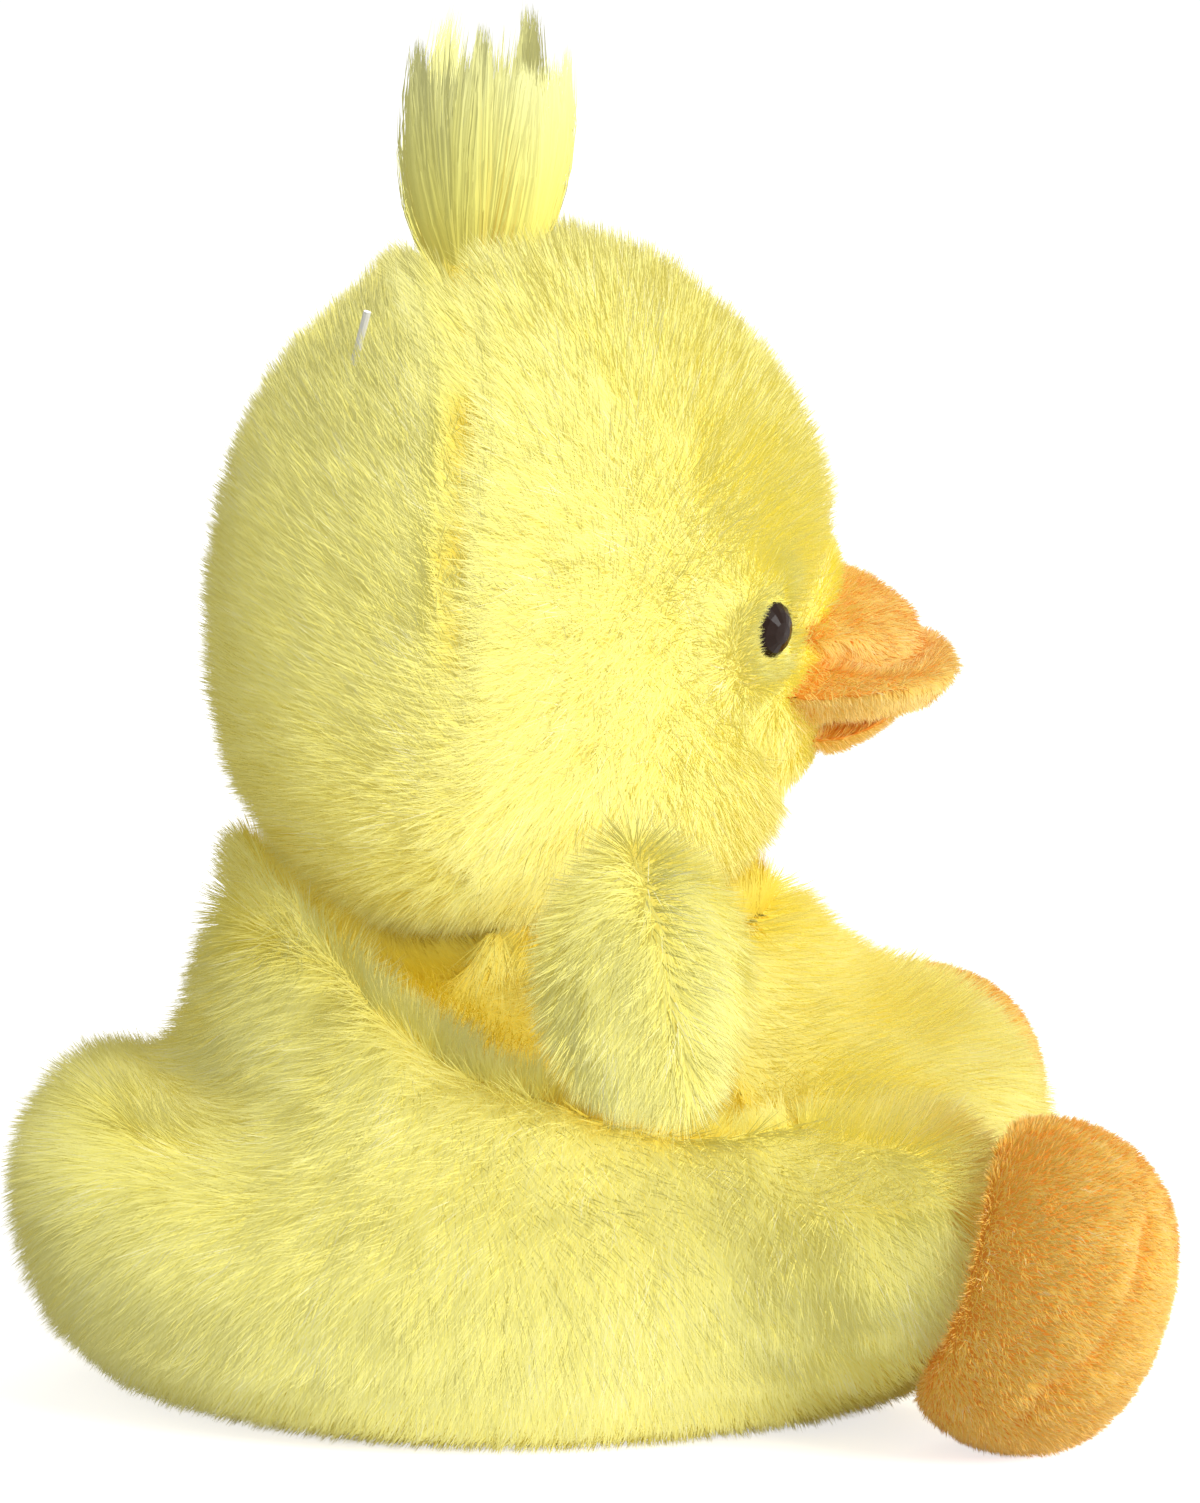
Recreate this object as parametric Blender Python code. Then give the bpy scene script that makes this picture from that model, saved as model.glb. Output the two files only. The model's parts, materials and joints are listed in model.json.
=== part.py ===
"""A palm-size stuffed duck that sits on a bean-filled seat, built from its sewn panels and fillings.

Metres, +Z up. The duck faces -Y, so its right side is at -X. Every panel is a layer of plush, backing
and pile together, over a filling. The head turns and nods on the neck filling, the wings, the feet, the
crest and the lower bill bend at their seams, and each of those seams is a clearance between soft forms.
"""

import math

import bmesh
import bpy
import numpy as np
from mathutils import Matrix, Vector

# Head and neck
HEAD_WIDTH = 0.0600
HEAD_LENGTH = 0.0572
HEAD_HEIGHT = 0.0594
HEAD_SETBACK = 0.0066
NECK_HEIGHT = 0.0425
NECK_BALL_DIAMETER = 0.0190
NECK_STEM_DIAMETER = 0.0150
NECK_STEM_LENGTH = 0.0200

# Body
SEAT_WIDTH = 0.0780
SEAT_LENGTH = 0.0900
SEAT_HEIGHT = 0.0350
SEAT_SETBACK = 0.0060
TORSO_WIDTH = 0.0490
TORSO_LENGTH = SEAT_LENGTH * 0.522
TORSO_DEPTH = 0.0360
PLUSH_THICKNESS = 0.0035
BASE_SEAM_HEIGHT = 0.0042
POUCH_HEIGHT = 0.0196

# Clearances, and the overrun of every cutter
GAP = 0.0003
HEAD_PLAY = 0.0024
LIMB_PLAY = 0.0012
ANKLE_PLAY = 0.0006
LIP_PLAY = 0.0008
OVERRUN = 0.0200

# Crest of long pile
CREST_HEIGHT = 0.0190
CREST_LENGTH = 0.0120
CREST_WIDTH = 0.0080
CREST_CLUMP_DIAMETER = 0.0064
CREST_ROOT_DIAMETER = 0.0086

# Eyes
EYE_DIAMETER = 0.0062
EYE_DOME_HEIGHT = 0.0030
EYE_SINK = 0.0026
EYE_SHANK_DIAMETER = 0.0024
EYE_SHANK_LENGTH = 0.0062
WASHER_DIAMETER = 0.0090
WASHER_THICKNESS = 0.0010
WASHER_DROP = 0.0015

# Bill
BILL_WIDTH = 0.0380
BILL_REACH = 0.0150
BILL_LIP_THICKNESS = 0.0048
BILL_DOME_HEIGHT = 0.0100
LOWER_BILL_THICKNESS = 0.0034

# Nylon pin in the back of the head
TAG_PIN_DIAMETER = 0.0007
TAG_PIN_LENGTH = 0.0050

# Wings
WING_HEIGHT = 0.0246
WING_REACH = 0.0130
WING_LENGTH = 0.0190
WING_PLUSH = 0.0026
WING_SPREAD = 0.0300
WING_CENTRE_HEIGHT = 0.0415

# Feet and the round ankles that they cap
FOOT_HEIGHT = 0.0280
FOOT_WIDTH = 0.0236
FOOT_THICKNESS = 0.0222
FOOT_PLUSH = 0.0024
FOOT_REACH = 0.0122
FOOT_REST = 0.0004
SOLE_SEAM_REACH = 0.0066
ANKLE_DIAMETER = 0.0250
ANKLE_SPREAD = 0.0300
ANKLE_FORWARD = 0.0285
ANKLE_RIM_REACH = 0.0045

# Angles
EYE_AZIMUTH = math.radians(47)
EYE_ELEVATION = math.radians(-5)
PIN_AZIMUTH = math.radians(150)
PIN_ELEVATION = math.radians(47)
FOOT_SPLAY = math.radians(20)
FOOT_LEAN = math.radians(17.5)
SOLE_PITCH = math.radians(20)
WING_SEAM_LEAN = math.radians(8)
WING_SWING = math.radians(15)
FOOT_FLEX_UP = math.radians(15)
FOOT_FLEX_DOWN = math.radians(4)

for kind in (bpy.data.objects, bpy.data.meshes, bpy.data.materials):
    for old in list(kind):
        kind.remove(old)


def material(name, colour, roughness):
    made = bpy.data.materials.new(name)
    made.use_nodes = True
    shader = made.node_tree.nodes["Principled BSDF"]
    shader.inputs["Base Color"].default_value = (*colour, 1)
    shader.inputs["Roughness"].default_value = roughness
    shader.inputs["Metallic"].default_value = 0
    return made


YELLOW_PLUSH = material("yellow plush", (0.95, 0.83, 0.20), 0.9)
LONG_PILE = material("long pile", (0.98, 0.92, 0.42), 0.9)
ORANGE_PLUSH = material("orange plush", (0.95, 0.50, 0.10), 0.9)
FIBRE = material("polyester fibre", (0.90, 0.90, 0.88), 1.0)
POUCH_CLOTH = material("pouch cloth", (0.75, 0.74, 0.70), 0.9)
EYE_PLASTIC = material("eye plastic", (0.03, 0.015, 0.01), 0.1)
WASHER_PLASTIC = material("washer plastic", (0.85, 0.85, 0.82), 0.4)
PIN_NYLON = material("pin nylon", (0.92, 0.92, 0.92), 0.3)


def add_object(name, body, finish=None):
    """A bmesh as an object. One without a finish is a guide, which only shapes other pieces."""
    bmesh.ops.recalc_face_normals(body, faces=body.faces)
    mesh = bpy.data.meshes.new(name)
    body.to_mesh(mesh)
    body.free()
    mesh.shade_smooth()
    made = bpy.data.objects.new(name, mesh)
    bpy.context.collection.objects.link(made)
    if finish:
        mesh.materials.append(finish)
    else:
        made.hide_render = True
        made.display_type = "WIRE"
    return made


def piece_from(guide, name, finish):
    """A visible piece that starts as a copy of a guide."""
    made = bpy.data.objects.new(name, guide.data.copy())
    made.matrix_world = guide.matrix_world.copy()
    bpy.context.collection.objects.link(made)
    made.data.materials.append(finish)
    return made


def combine(piece, operation, others):
    for other in others:
        modifier = piece.modifiers.new(other.name, "BOOLEAN")
        modifier.operation = operation
        modifier.object = other
        modifier.solver = "EXACT"
    return piece


def cut(piece, *cutters):
    return combine(piece, "DIFFERENCE", cutters)


def keep(piece, *spaces):
    return combine(piece, "INTERSECT", spaces)


def turned(name, profile, segments, finish=None):
    """A round piece about its own Z, from (radius, height) points that start and end on the axis."""
    body = bmesh.new()
    rows = []
    for radius, height in profile:
        angles = [2 * math.pi * i / segments for i in range(segments if radius else 1)]
        rows.append([body.verts.new((radius * math.cos(a), radius * math.sin(a), height)) for a in angles])
    for lower, upper in zip(rows, rows[1:]):
        for i in range(segments):
            j = (i + 1) % segments
            corners = [lower[i % len(lower)], lower[j % len(lower)]]
            corners += [upper[j % len(upper)], upper[i % len(upper)]]
            body.faces.new(list(dict.fromkeys(corners)))
    return add_object(name, body, finish)


def ball_profile(radius, steps):
    turns = [math.pi * i / steps - math.pi / 2 for i in range(1, steps)]
    return [(0, -radius), *[(radius * math.cos(a), radius * math.sin(a)) for a in turns], (0, radius)]


def rod_profile(radius, low, high):
    return [(0, low), (radius, low), (radius, high), (0, high)]


def stand_on(piece, place, way):
    """Puts a piece's origin at a place and its Z along a way."""
    turn = Vector(way).to_track_quat("Z", "Y").to_matrix().to_4x4()
    piece.matrix_world = Matrix.Translation(Vector(place)) @ turn
    return piece


def space(name, place, way):
    """A large box guide that fills everything beyond a place, seen along a way."""
    side = 2 * (SEAT_LENGTH + HEAD_HEIGHT)
    body = bmesh.new()
    bmesh.ops.create_cube(body, size=side, matrix=Matrix.Translation((0, 0, side / 2)))
    return stand_on(add_object(name, body), place, way)


def lump(centre, radii, power=2.0):
    """One swelling of a soft form: oval seen from above, and squarer in profile with a higher power."""
    return np.asarray(centre, float), np.asarray(radii, float), power


def depth_outside(points, lumps, melt):
    """How far points lie outside lumps that melt into each other over the length melt."""
    reach = []
    for centre, radii, power in lumps:
        offset = points - centre
        level, upright = np.hypot(*(offset / radii)[:, :2].T), np.abs(offset[:, 2] / radii[2])
        share = (level**power + upright**power) ** (1 / power)
        reach.append(np.linalg.norm(offset, axis=1) * (1 - 1 / np.maximum(share, 1e-9)))
    reach = np.array(reach)
    least = reach.min(axis=0)
    return least - melt * np.log(np.exp((least - reach) / melt).sum(axis=0))


def reach_along(heart, ways, lumps, melt, inset=0.0):
    """How far each way leads from the heart to the lumps' outermost surface, less the inset."""
    steps = 72
    stride = (SEAT_LENGTH + HEAD_HEIGHT) / 2 / steps
    near = np.zeros(len(ways))
    for step in range(steps):
        inside = depth_outside(heart + ways * stride * step, lumps, melt) < -inset
        near = np.where(inside, stride * step, near)
    far = near + stride
    for _ in range(20):
        middle = (near + far) / 2
        inside = depth_outside(heart + ways * middle[:, None], lumps, melt) < -inset
        near = np.where(inside, middle, near)
        far = np.where(inside, far, middle)
    return near


def soft_guide(name, heart, lumps, melt, inset, rings, segments, floor=None):
    """A round guide whose points are pushed out from its heart to the lumps, and no lower than a floor.

    Its quads are split while the ball is still round, so guides with one heart and different insets nest.
    """
    body = bmesh.new()
    bmesh.ops.create_uvsphere(body, u_segments=segments, v_segments=rings, radius=1)
    bmesh.ops.triangulate(body, faces=body.faces, quad_method="FIXED")
    ways = np.array([vertex.co for vertex in body.verts])
    ways /= np.linalg.norm(ways, axis=1)[:, None]
    reach = reach_along(heart, ways, lumps, melt, inset)
    if floor is not None:
        down = ways[:, 2] < 0
        limit = (floor + inset - heart[2]) / np.where(down, ways[:, 2], -1)
        reach = np.where(down, np.minimum(reach, limit), reach)
    for vertex, way, length in zip(body.verts, ways, reach):
        vertex.co = Vector(heart + way * length)
    return add_object(name, body)


def place_on(heart, way, lumps, melt):
    """Where a way from the heart meets the lumps' surface."""
    way = np.asarray(way, float) / np.linalg.norm(way)
    return heart + way * reach_along(heart, way[None, :], lumps, melt)[0]


def way_of(azimuth, elevation, side=1):
    """A unit way, from straight ahead round to one side and up."""
    level = math.cos(elevation)
    return np.array((side * math.sin(azimuth) * level, -math.cos(azimuth) * level, math.sin(elevation)))


SIDES = ((-1, "right"), (1, "left"))

# Head: a round form whose lower half is squarer, with full cheeks
HEAD_RADII = np.array((HEAD_WIDTH, HEAD_LENGTH, HEAD_HEIGHT)) / 2
HEAD_CENTRE = np.array((0, HEAD_SETBACK, NECK_HEIGHT + HEAD_HEIGHT / 2))
CROWN_SHARES = np.array((0.985, 0.970, 1.00))
JOWL_SHARES = np.array((0.975, 0.945, 0.76))
JOWL_PLACE_SHARES = np.array((0, 0.035, -0.27))
HEAD_LUMPS = [
    lump(HEAD_CENTRE, HEAD_RADII * CROWN_SHARES, 2.05),
    lump(HEAD_CENTRE + HEAD_RADII * JOWL_PLACE_SHARES, HEAD_RADII * JOWL_SHARES, 2.5),
]
HEAD_MELT = HEAD_HEIGHT * 0.02


def head_guide(name, inset, rings=16, segments=26):
    return soft_guide(name, HEAD_CENTRE, HEAD_LUMPS, HEAD_MELT, inset, rings, segments)


head_outer = head_guide("head outer", 0)
head_touch = head_guide("head touch", -GAP)
head_reach = head_guide("head reach", -HEAD_PLAY, 12, 20)
head_inner = head_guide("head inner", PLUSH_THICKNESS, 10, 16)
head_core = head_guide("head core", PLUSH_THICKNESS + GAP, 10, 16)

# Neck: a ball inside the head on a stem that stands in the torso
NECK_PIVOT = Vector((0, HEAD_SETBACK, NECK_HEIGHT + NECK_BALL_DIAMETER * 0.45))


def neck_shape(name, play, stem_radius, finish=None):
    radius = NECK_BALL_DIAMETER / 2 + play
    stem_end = -NECK_STEM_LENGTH - play
    start = -math.acos(stem_radius / radius)
    steps = 5
    arc = [start + (math.pi / 2 - start) * i / steps for i in range(steps)]
    ball = [(radius * math.cos(a), radius * math.sin(a)) for a in arc]
    made = turned(name, [(0, stem_end), (stem_radius, stem_end), *ball, (0, radius)], 18, finish)
    made.location = NECK_PIVOT
    return made


neck_stuffing = neck_shape("neck_stuffing", 0, NECK_STEM_DIAMETER / 2, FIBRE)
neck_socket = neck_shape("neck socket", GAP, NECK_BALL_DIAMETER / 2)
neck_bore = neck_shape("neck bore", GAP, NECK_STEM_DIAMETER / 2 + GAP)

# Crown, where the crest's round root sits in its socket
CROWN = Vector(place_on(HEAD_CENTRE, (0, 0.115, 1), HEAD_LUMPS, HEAD_MELT))
CREST_ROOT_RADIUS = CREST_ROOT_DIAMETER / 2
crest_socket = turned("crest socket", ball_profile(CREST_ROOT_RADIUS + GAP, 6), 12)
crest_socket.location = CROWN

# The seam between face and back bows forward at the crown and backward at the cheeks
SEAM_HEIGHT_SHARES = (1.25, 0.97, 0.78, 0.50, 0.25, -0.20)
SEAM_SETBACK_SHARES = (0.080, 0.090, 0.150, 0.170, 0.155, 0.125)


def seam_block(name, side):
    """Everything behind the head's seam, or before it where side is -1."""
    seam = [
        (HEAD_SETBACK + HEAD_LENGTH * setback + side * GAP / 2, NECK_HEIGHT + HEAD_HEIGHT * height)
        for height, setback in zip(SEAM_HEIGHT_SHARES, SEAM_SETBACK_SHARES)
    ]
    far = HEAD_SETBACK + side * HEAD_LENGTH
    outline = [*seam, (far, seam[-1][1]), (far, seam[0][1])]
    half = HEAD_WIDTH / 2 + OVERRUN
    body = bmesh.new()
    ends = [[body.verts.new((x, y, z)) for y, z in outline] for x in (-half, half)]
    for end in ends:
        body.faces.new(end)
    for i in range(len(outline)):
        j = (i + 1) % len(outline)
        body.faces.new((ends[0][i], ends[0][j], ends[1][j], ends[1][i]))
    return add_object(name, body)


face_panel = piece_from(head_outer, "face_panel", YELLOW_PLUSH)
head_back_panel = piece_from(head_outer, "head_back_panel", YELLOW_PLUSH)
for panel, side in ((face_panel, -1), (head_back_panel, 1)):
    cut(panel, head_inner, neck_socket, crest_socket)
    keep(panel, seam_block(f"{panel.name} side", side))
head_stuffing = piece_from(head_core, "head_stuffing", FIBRE)
cut(head_stuffing, neck_socket, crest_socket)

# Crest: clumps of pile that swell from a shared root and end in points
CLUMP_SIDES = 6
# Each clump's place across and along the crest, and its height
CLUMP_SHARES = (
    (0.10, -0.95, 0.74),
    (0.00, -0.55, 0.97),
    (0.80, -0.20, 0.88),
    (-0.80, 0.00, 0.90),
    (0.40, 0.40, 1.00),
    (-0.30, 0.75, 0.84),
    (0.10, 1.05, 0.62),
)
CLUMP_HEIGHT_SHARES = (0.06, 0.40, 0.72, 1.00)
CLUMP_WIDTH_SHARES = (0.50, 1.00, 0.74, 0)
CLUMP_LEAN_SHARES = (0.24, 0.58, 0.85, 1.00)


def crest_clump(name, lean, height, start):
    """A clump that leans from the crown's middle. Start turns its sides, so that no two clumps line up."""
    body = bmesh.new()
    rows = []
    for height_share, width_share, lean_share in zip(CLUMP_HEIGHT_SHARES, CLUMP_WIDTH_SHARES, CLUMP_LEAN_SHARES):
        middle = Vector((lean[0] * lean_share, lean[1] * lean_share, height * height_share))
        radius = CREST_CLUMP_DIAMETER / 2 * width_share
        turns = [start + 2 * math.pi * i / CLUMP_SIDES for i in range(CLUMP_SIDES if radius else 1)]
        rows.append([body.verts.new(middle + Vector((math.cos(a), math.sin(a), 0)) * radius) for a in turns])
    body.faces.new(rows[0])
    for lower, upper in zip(rows, rows[1:]):
        for i in range(CLUMP_SIDES):
            j = (i + 1) % CLUMP_SIDES
            corners = [lower[i], lower[j], upper[j % len(upper)], upper[i % len(upper)]]
            body.faces.new(list(dict.fromkeys(corners)))
    made = add_object(name, body)
    made.location = CROWN
    return made


crest_tuft = turned("crest_tuft", ball_profile(CREST_ROOT_RADIUS, 6), 12, LONG_PILE)
crest_tuft.location = CROWN
for index, (across, along, tall) in enumerate(CLUMP_SHARES):
    clump_lean = (CREST_WIDTH / 2 * across, CREST_LENGTH / 2 * along)
    clump = crest_clump(f"crest clump {index}", clump_lean, CREST_HEIGHT * tall, 0.4 * index)
    combine(crest_tuft, "UNION", [clump])

# Eyes: domes in recesses of the face panel, with shanks through it into lock washers
EYE_RADIUS = EYE_DIAMETER / 2
SHANK_RADIUS = EYE_SHANK_DIAMETER / 2
WASHER_RADIUS = WASHER_DIAMETER / 2
DOME_STEPS = 5
dome_turns = [math.pi / 2 * i / DOME_STEPS for i in range(1, DOME_STEPS)]
EYE_PROFILE = [
    (0, -EYE_SHANK_LENGTH),
    (SHANK_RADIUS, -EYE_SHANK_LENGTH),
    (SHANK_RADIUS, 0),
    (EYE_RADIUS, 0),
    *[(EYE_RADIUS * math.cos(a), EYE_DOME_HEIGHT * math.sin(a)) for a in dome_turns],
    (0, EYE_DOME_HEIGHT),
]
for side, label in SIDES:
    way = way_of(EYE_AZIMUTH, EYE_ELEVATION, side)
    skin = place_on(HEAD_CENTRE, way, HEAD_LUMPS, HEAD_MELT)
    eye_seat = skin - way * EYE_SINK
    washer_seat = skin - way * (PLUSH_THICKNESS + WASHER_DROP + WASHER_THICKNESS)
    stand_on(turned(f"{label}_eye", EYE_PROFILE, 16, EYE_PLASTIC), eye_seat, way)
    recess = turned(f"{label} eye recess", rod_profile(EYE_RADIUS + GAP, -GAP, OVERRUN), 16)
    shank_profile = rod_profile(SHANK_RADIUS + GAP, -EYE_SHANK_LENGTH - GAP, OVERRUN)
    shank_hole = turned(f"{label} shank hole", shank_profile, 8)
    pocket = turned(f"{label} washer pocket", rod_profile(WASHER_RADIUS + GAP, -GAP, OVERRUN), 16)
    dent = turned(f"{label} washer dent", rod_profile(WASHER_RADIUS + GAP, -GAP, WASHER_THICKNESS + GAP), 16)
    washer = turned(f"{label}_eye_washer", rod_profile(WASHER_RADIUS, 0, WASHER_THICKNESS), 16, WASHER_PLASTIC)
    stand_on(recess, eye_seat, way)
    stand_on(shank_hole, eye_seat, way)
    stand_on(pocket, washer_seat, way)
    stand_on(dent, washer_seat, way)
    stand_on(washer, washer_seat, way)
    cut(washer, shank_hole)
    cut(face_panel, recess, shank_hole, dent)
    cut(head_stuffing, pocket, shank_hole)

# Bill: a dome over a wide lip, cut to the face, with a flap under it
BILL_PLACE_SHARES = np.array((0, -0.82, -0.315))
BILL_PLACE = HEAD_CENTRE + HEAD_RADII * BILL_PLACE_SHARES
LIP_RADII = np.array((BILL_WIDTH / 2, BILL_REACH, BILL_LIP_THICKNESS / 2))
DOME_RADII = np.array((BILL_WIDTH / 2 * 0.74, BILL_REACH * 0.88, BILL_DOME_HEIGHT))
BILL_LUMPS = [lump(BILL_PLACE, LIP_RADII, 3.2), lump(BILL_PLACE, DOME_RADII)]
BILL_MELT = BILL_LIP_THICKNESS * 0.05
LIP_BOTTOM = BILL_PLACE[2] - BILL_LIP_THICKNESS / 2
bill_heart = BILL_PLACE + LIP_RADII * (0, 0, 0.3)
bill_outer = soft_guide("bill outer", bill_heart, BILL_LUMPS, BILL_MELT, 0, 16, 28)
upper_bill = piece_from(bill_outer, "upper_bill", ORANGE_PLUSH)
keep(upper_bill, space("above lip", (0, 0, LIP_BOTTOM), (0, 0, 1)))
cut(upper_bill, head_touch)

LOWER_BILL_SHARES = np.array((0.62, 0.66, 1.00))
LOWER_BILL_RADII = np.array((BILL_WIDTH / 2, BILL_REACH, LOWER_BILL_THICKNESS / 2)) * LOWER_BILL_SHARES
LOWER_BILL_PLACE = np.array((0, BILL_PLACE[1] - BILL_REACH * 0.04, LIP_BOTTOM - LIP_PLAY - LOWER_BILL_RADII[2]))
LOWER_BILL_LUMPS = [lump(LOWER_BILL_PLACE, LOWER_BILL_RADII, 3.0)]
lower_bill_outer = soft_guide("lower bill outer", LOWER_BILL_PLACE, LOWER_BILL_LUMPS, BILL_MELT, 0, 10, 24)
lower_bill = piece_from(lower_bill_outer, "lower_bill", ORANGE_PLUSH)
cut(lower_bill, head_guide("lower bill root", -LIP_PLAY))
lower_bill_way = (LOWER_BILL_PLACE - HEAD_CENTRE) - LOWER_BILL_RADII * (0, 0.2, 0)
LOWER_BILL_HINGE = Vector(place_on(HEAD_CENTRE, lower_bill_way, HEAD_LUMPS, HEAD_MELT))

# Nylon pin, whose foot is held in the thickness of the back panel
PIN_RADIUS = TAG_PIN_DIAMETER / 2
PIN_LEAN_SHARES = np.array((0, -0.9, 0.6))
pin_way = way_of(PIN_AZIMUTH, PIN_ELEVATION, -1)
pin_foot = place_on(HEAD_CENTRE, pin_way, HEAD_LUMPS, HEAD_MELT) - pin_way * PLUSH_THICKNESS * 0.6
tag_pin = turned("tag_pin", rod_profile(PIN_RADIUS, 0, TAG_PIN_LENGTH), 10, PIN_NYLON)
pin_hole = turned("pin hole", rod_profile(PIN_RADIUS + GAP, -GAP, TAG_PIN_LENGTH + OVERRUN), 10)
stand_on(tag_pin, pin_foot, pin_way + PIN_LEAN_SHARES)
stand_on(pin_hole, pin_foot, pin_way + PIN_LEAN_SHARES)
cut(head_back_panel, pin_hole)

# Torso: rises out of the seat to the head, with a belly in front
TORSO_RADII = np.array((TORSO_WIDTH, TORSO_LENGTH, TORSO_DEPTH)) / 2
TORSO_CENTRE = np.array((0, SEAT_SETBACK, NECK_HEIGHT - TORSO_DEPTH * 0.26))
BELLY_PLACE_SHARES = np.array((0, -0.26, -0.22))
BELLY_SHARES = np.array((1.01, 1.02, 1.12))
TORSO_LUMPS = [
    lump(TORSO_CENTRE, TORSO_RADII, 3.0),
    lump(TORSO_CENTRE + TORSO_RADII * BELLY_PLACE_SHARES, TORSO_RADII * BELLY_SHARES, 2.2),
]
TORSO_MELT = TORSO_DEPTH * 0.02


def torso_guide(name, inset, rings=14, segments=24):
    return soft_guide(name, TORSO_CENTRE, TORSO_LUMPS, TORSO_MELT, inset, rings, segments)


torso_outer = torso_guide("torso outer", 0)
torso_hole = torso_guide("torso hole", -GAP)
torso_inner = torso_guide("torso inner", PLUSH_THICKNESS, 10, 16)
torso_core = torso_guide("torso core", PLUSH_THICKNESS + GAP, 10, 16)

# Seat: a bean-filled bag with a tail, a belly, thighs, round ankles, and a ridge up the back
SEAT_UNIT = np.array((SEAT_WIDTH / 2, SEAT_LENGTH / 2, SEAT_HEIGHT))
SEAT_DATUM = np.array((0, SEAT_SETBACK, 0))
SEAT_MELT = SEAT_HEIGHT * 0.045
ANKLE_RADIUS = ANKLE_DIAMETER / 2
ANKLE_HEIGHT = FOOT_HEIGHT / 2 + FOOT_REST + FOOT_REACH * math.sin(FOOT_LEAN)


def ankle_place(side):
    return np.array((side * ANKLE_SPREAD, SEAT_SETBACK - ANKLE_FORWARD, ANKLE_HEIGHT))


def seat_lump(place_shares, radius_shares, power=2.0):
    """A lump by its shares of the seat's half width, half length and height."""
    return lump(SEAT_DATUM + SEAT_UNIT * place_shares, SEAT_UNIT * radius_shares, power)


SEAT_LUMPS = [
    seat_lump((0, 0, 0.38), (0.98, 0.98, 0.55), 2.4),
    seat_lump((0, 0.745, 0.53), (0.55, 0.285, 0.36)),
    seat_lump((0, -0.57, 0.57), (0.53, 0.47, 0.50), 2.2),
    seat_lump((0, 0.49, 0.90), (0.42, 0.19, 0.58), 2.2),
    lump(TORSO_CENTRE, TORSO_RADII * 0.88, 2.4),
]
for side, label in SIDES:
    SEAT_LUMPS += [
        seat_lump((side * 0.49, 0.35, 0.70), (0.24, 0.21, 0.40)),
        seat_lump((side * 0.68, 0.11, 0.54), (0.20, 0.30, 0.37)),
        seat_lump((side * 0.61, -0.40, 0.47), (0.33, 0.32, 0.41), 2.1),
        lump(ankle_place(side), (ANKLE_RADIUS, ANKLE_RADIUS, ANKLE_RADIUS)),
    ]
SEAT_HEART = SEAT_DATUM + SEAT_UNIT * (0, 0.02, 0.50)


def seat_guide(name, inset, rings=24, segments=36):
    return soft_guide(name, SEAT_HEART, SEAT_LUMPS, SEAT_MELT, inset, rings, segments, 0)


seat_outer = seat_guide("seat outer", 0)
seat_reach = seat_guide("seat reach", -LIMB_PLAY, 16, 26)
seat_inner = seat_guide("seat inner", PLUSH_THICKNESS, 14, 22)
seat_core = seat_guide("seat core", PLUSH_THICKNESS + GAP, 14, 22)
above_base = space("above base", (0, 0, BASE_SEAM_HEIGHT + GAP / 2), (0, 0, 1))
below_base = space("below base", (0, 0, BASE_SEAM_HEIGHT - GAP / 2), (0, 0, -1))
above_pouch = space("above pouch", (0, 0, POUCH_HEIGHT + GAP), (0, 0, 1))
below_pouch = space("below pouch", (0, 0, POUCH_HEIGHT), (0, 0, -1))

for side, label in SIDES:
    panel = piece_from(seat_outer, f"{label}_side_panel", YELLOW_PLUSH)
    cut(panel, seat_inner)
    keep(panel, space(f"{label} half", (side * GAP / 2, 0, 0), (side, 0, 0)), above_base)
    cut(panel, torso_hole, head_reach)
base_panel = piece_from(seat_outer, "base_panel", YELLOW_PLUSH)
keep(cut(base_panel, seat_inner), below_base)
bean_pouch = piece_from(seat_core, "bean_pouch", POUCH_CLOTH)
keep(bean_pouch, below_pouch)
seat_stuffing = piece_from(seat_core, "seat_stuffing", FIBRE)
cut(keep(seat_stuffing, above_pouch), torso_hole, head_reach)
torso_panel = piece_from(torso_outer, "torso_panel", YELLOW_PLUSH)
cut(keep(torso_panel, above_pouch), torso_inner, head_reach)
torso_stuffing = piece_from(torso_core, "torso_stuffing", FIBRE)
cut(keep(torso_stuffing, above_pouch), head_reach, neck_bore)


def swung_copy(guide, name, hinge, axis, angle):
    """A guide turned about a hinge, which cuts the room that a swinging limb needs."""
    made = bpy.data.objects.new(name, guide.data)
    made.hide_render = True
    made.display_type = "WIRE"
    bpy.context.collection.objects.link(made)
    turn = Matrix.Rotation(angle, 4, Vector(axis))
    made.matrix_world = Matrix.Translation(hinge) @ turn @ Matrix.Translation(-hinge) @ guide.matrix_world
    return made


def set_origin(piece, place):
    """Moves a piece's origin to its hinge and leaves its shape where it is."""
    old = piece.matrix_world.copy()
    piece.matrix_world = Matrix.Translation(place)
    piece.data.transform(Matrix.Translation(-place) @ old)


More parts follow.
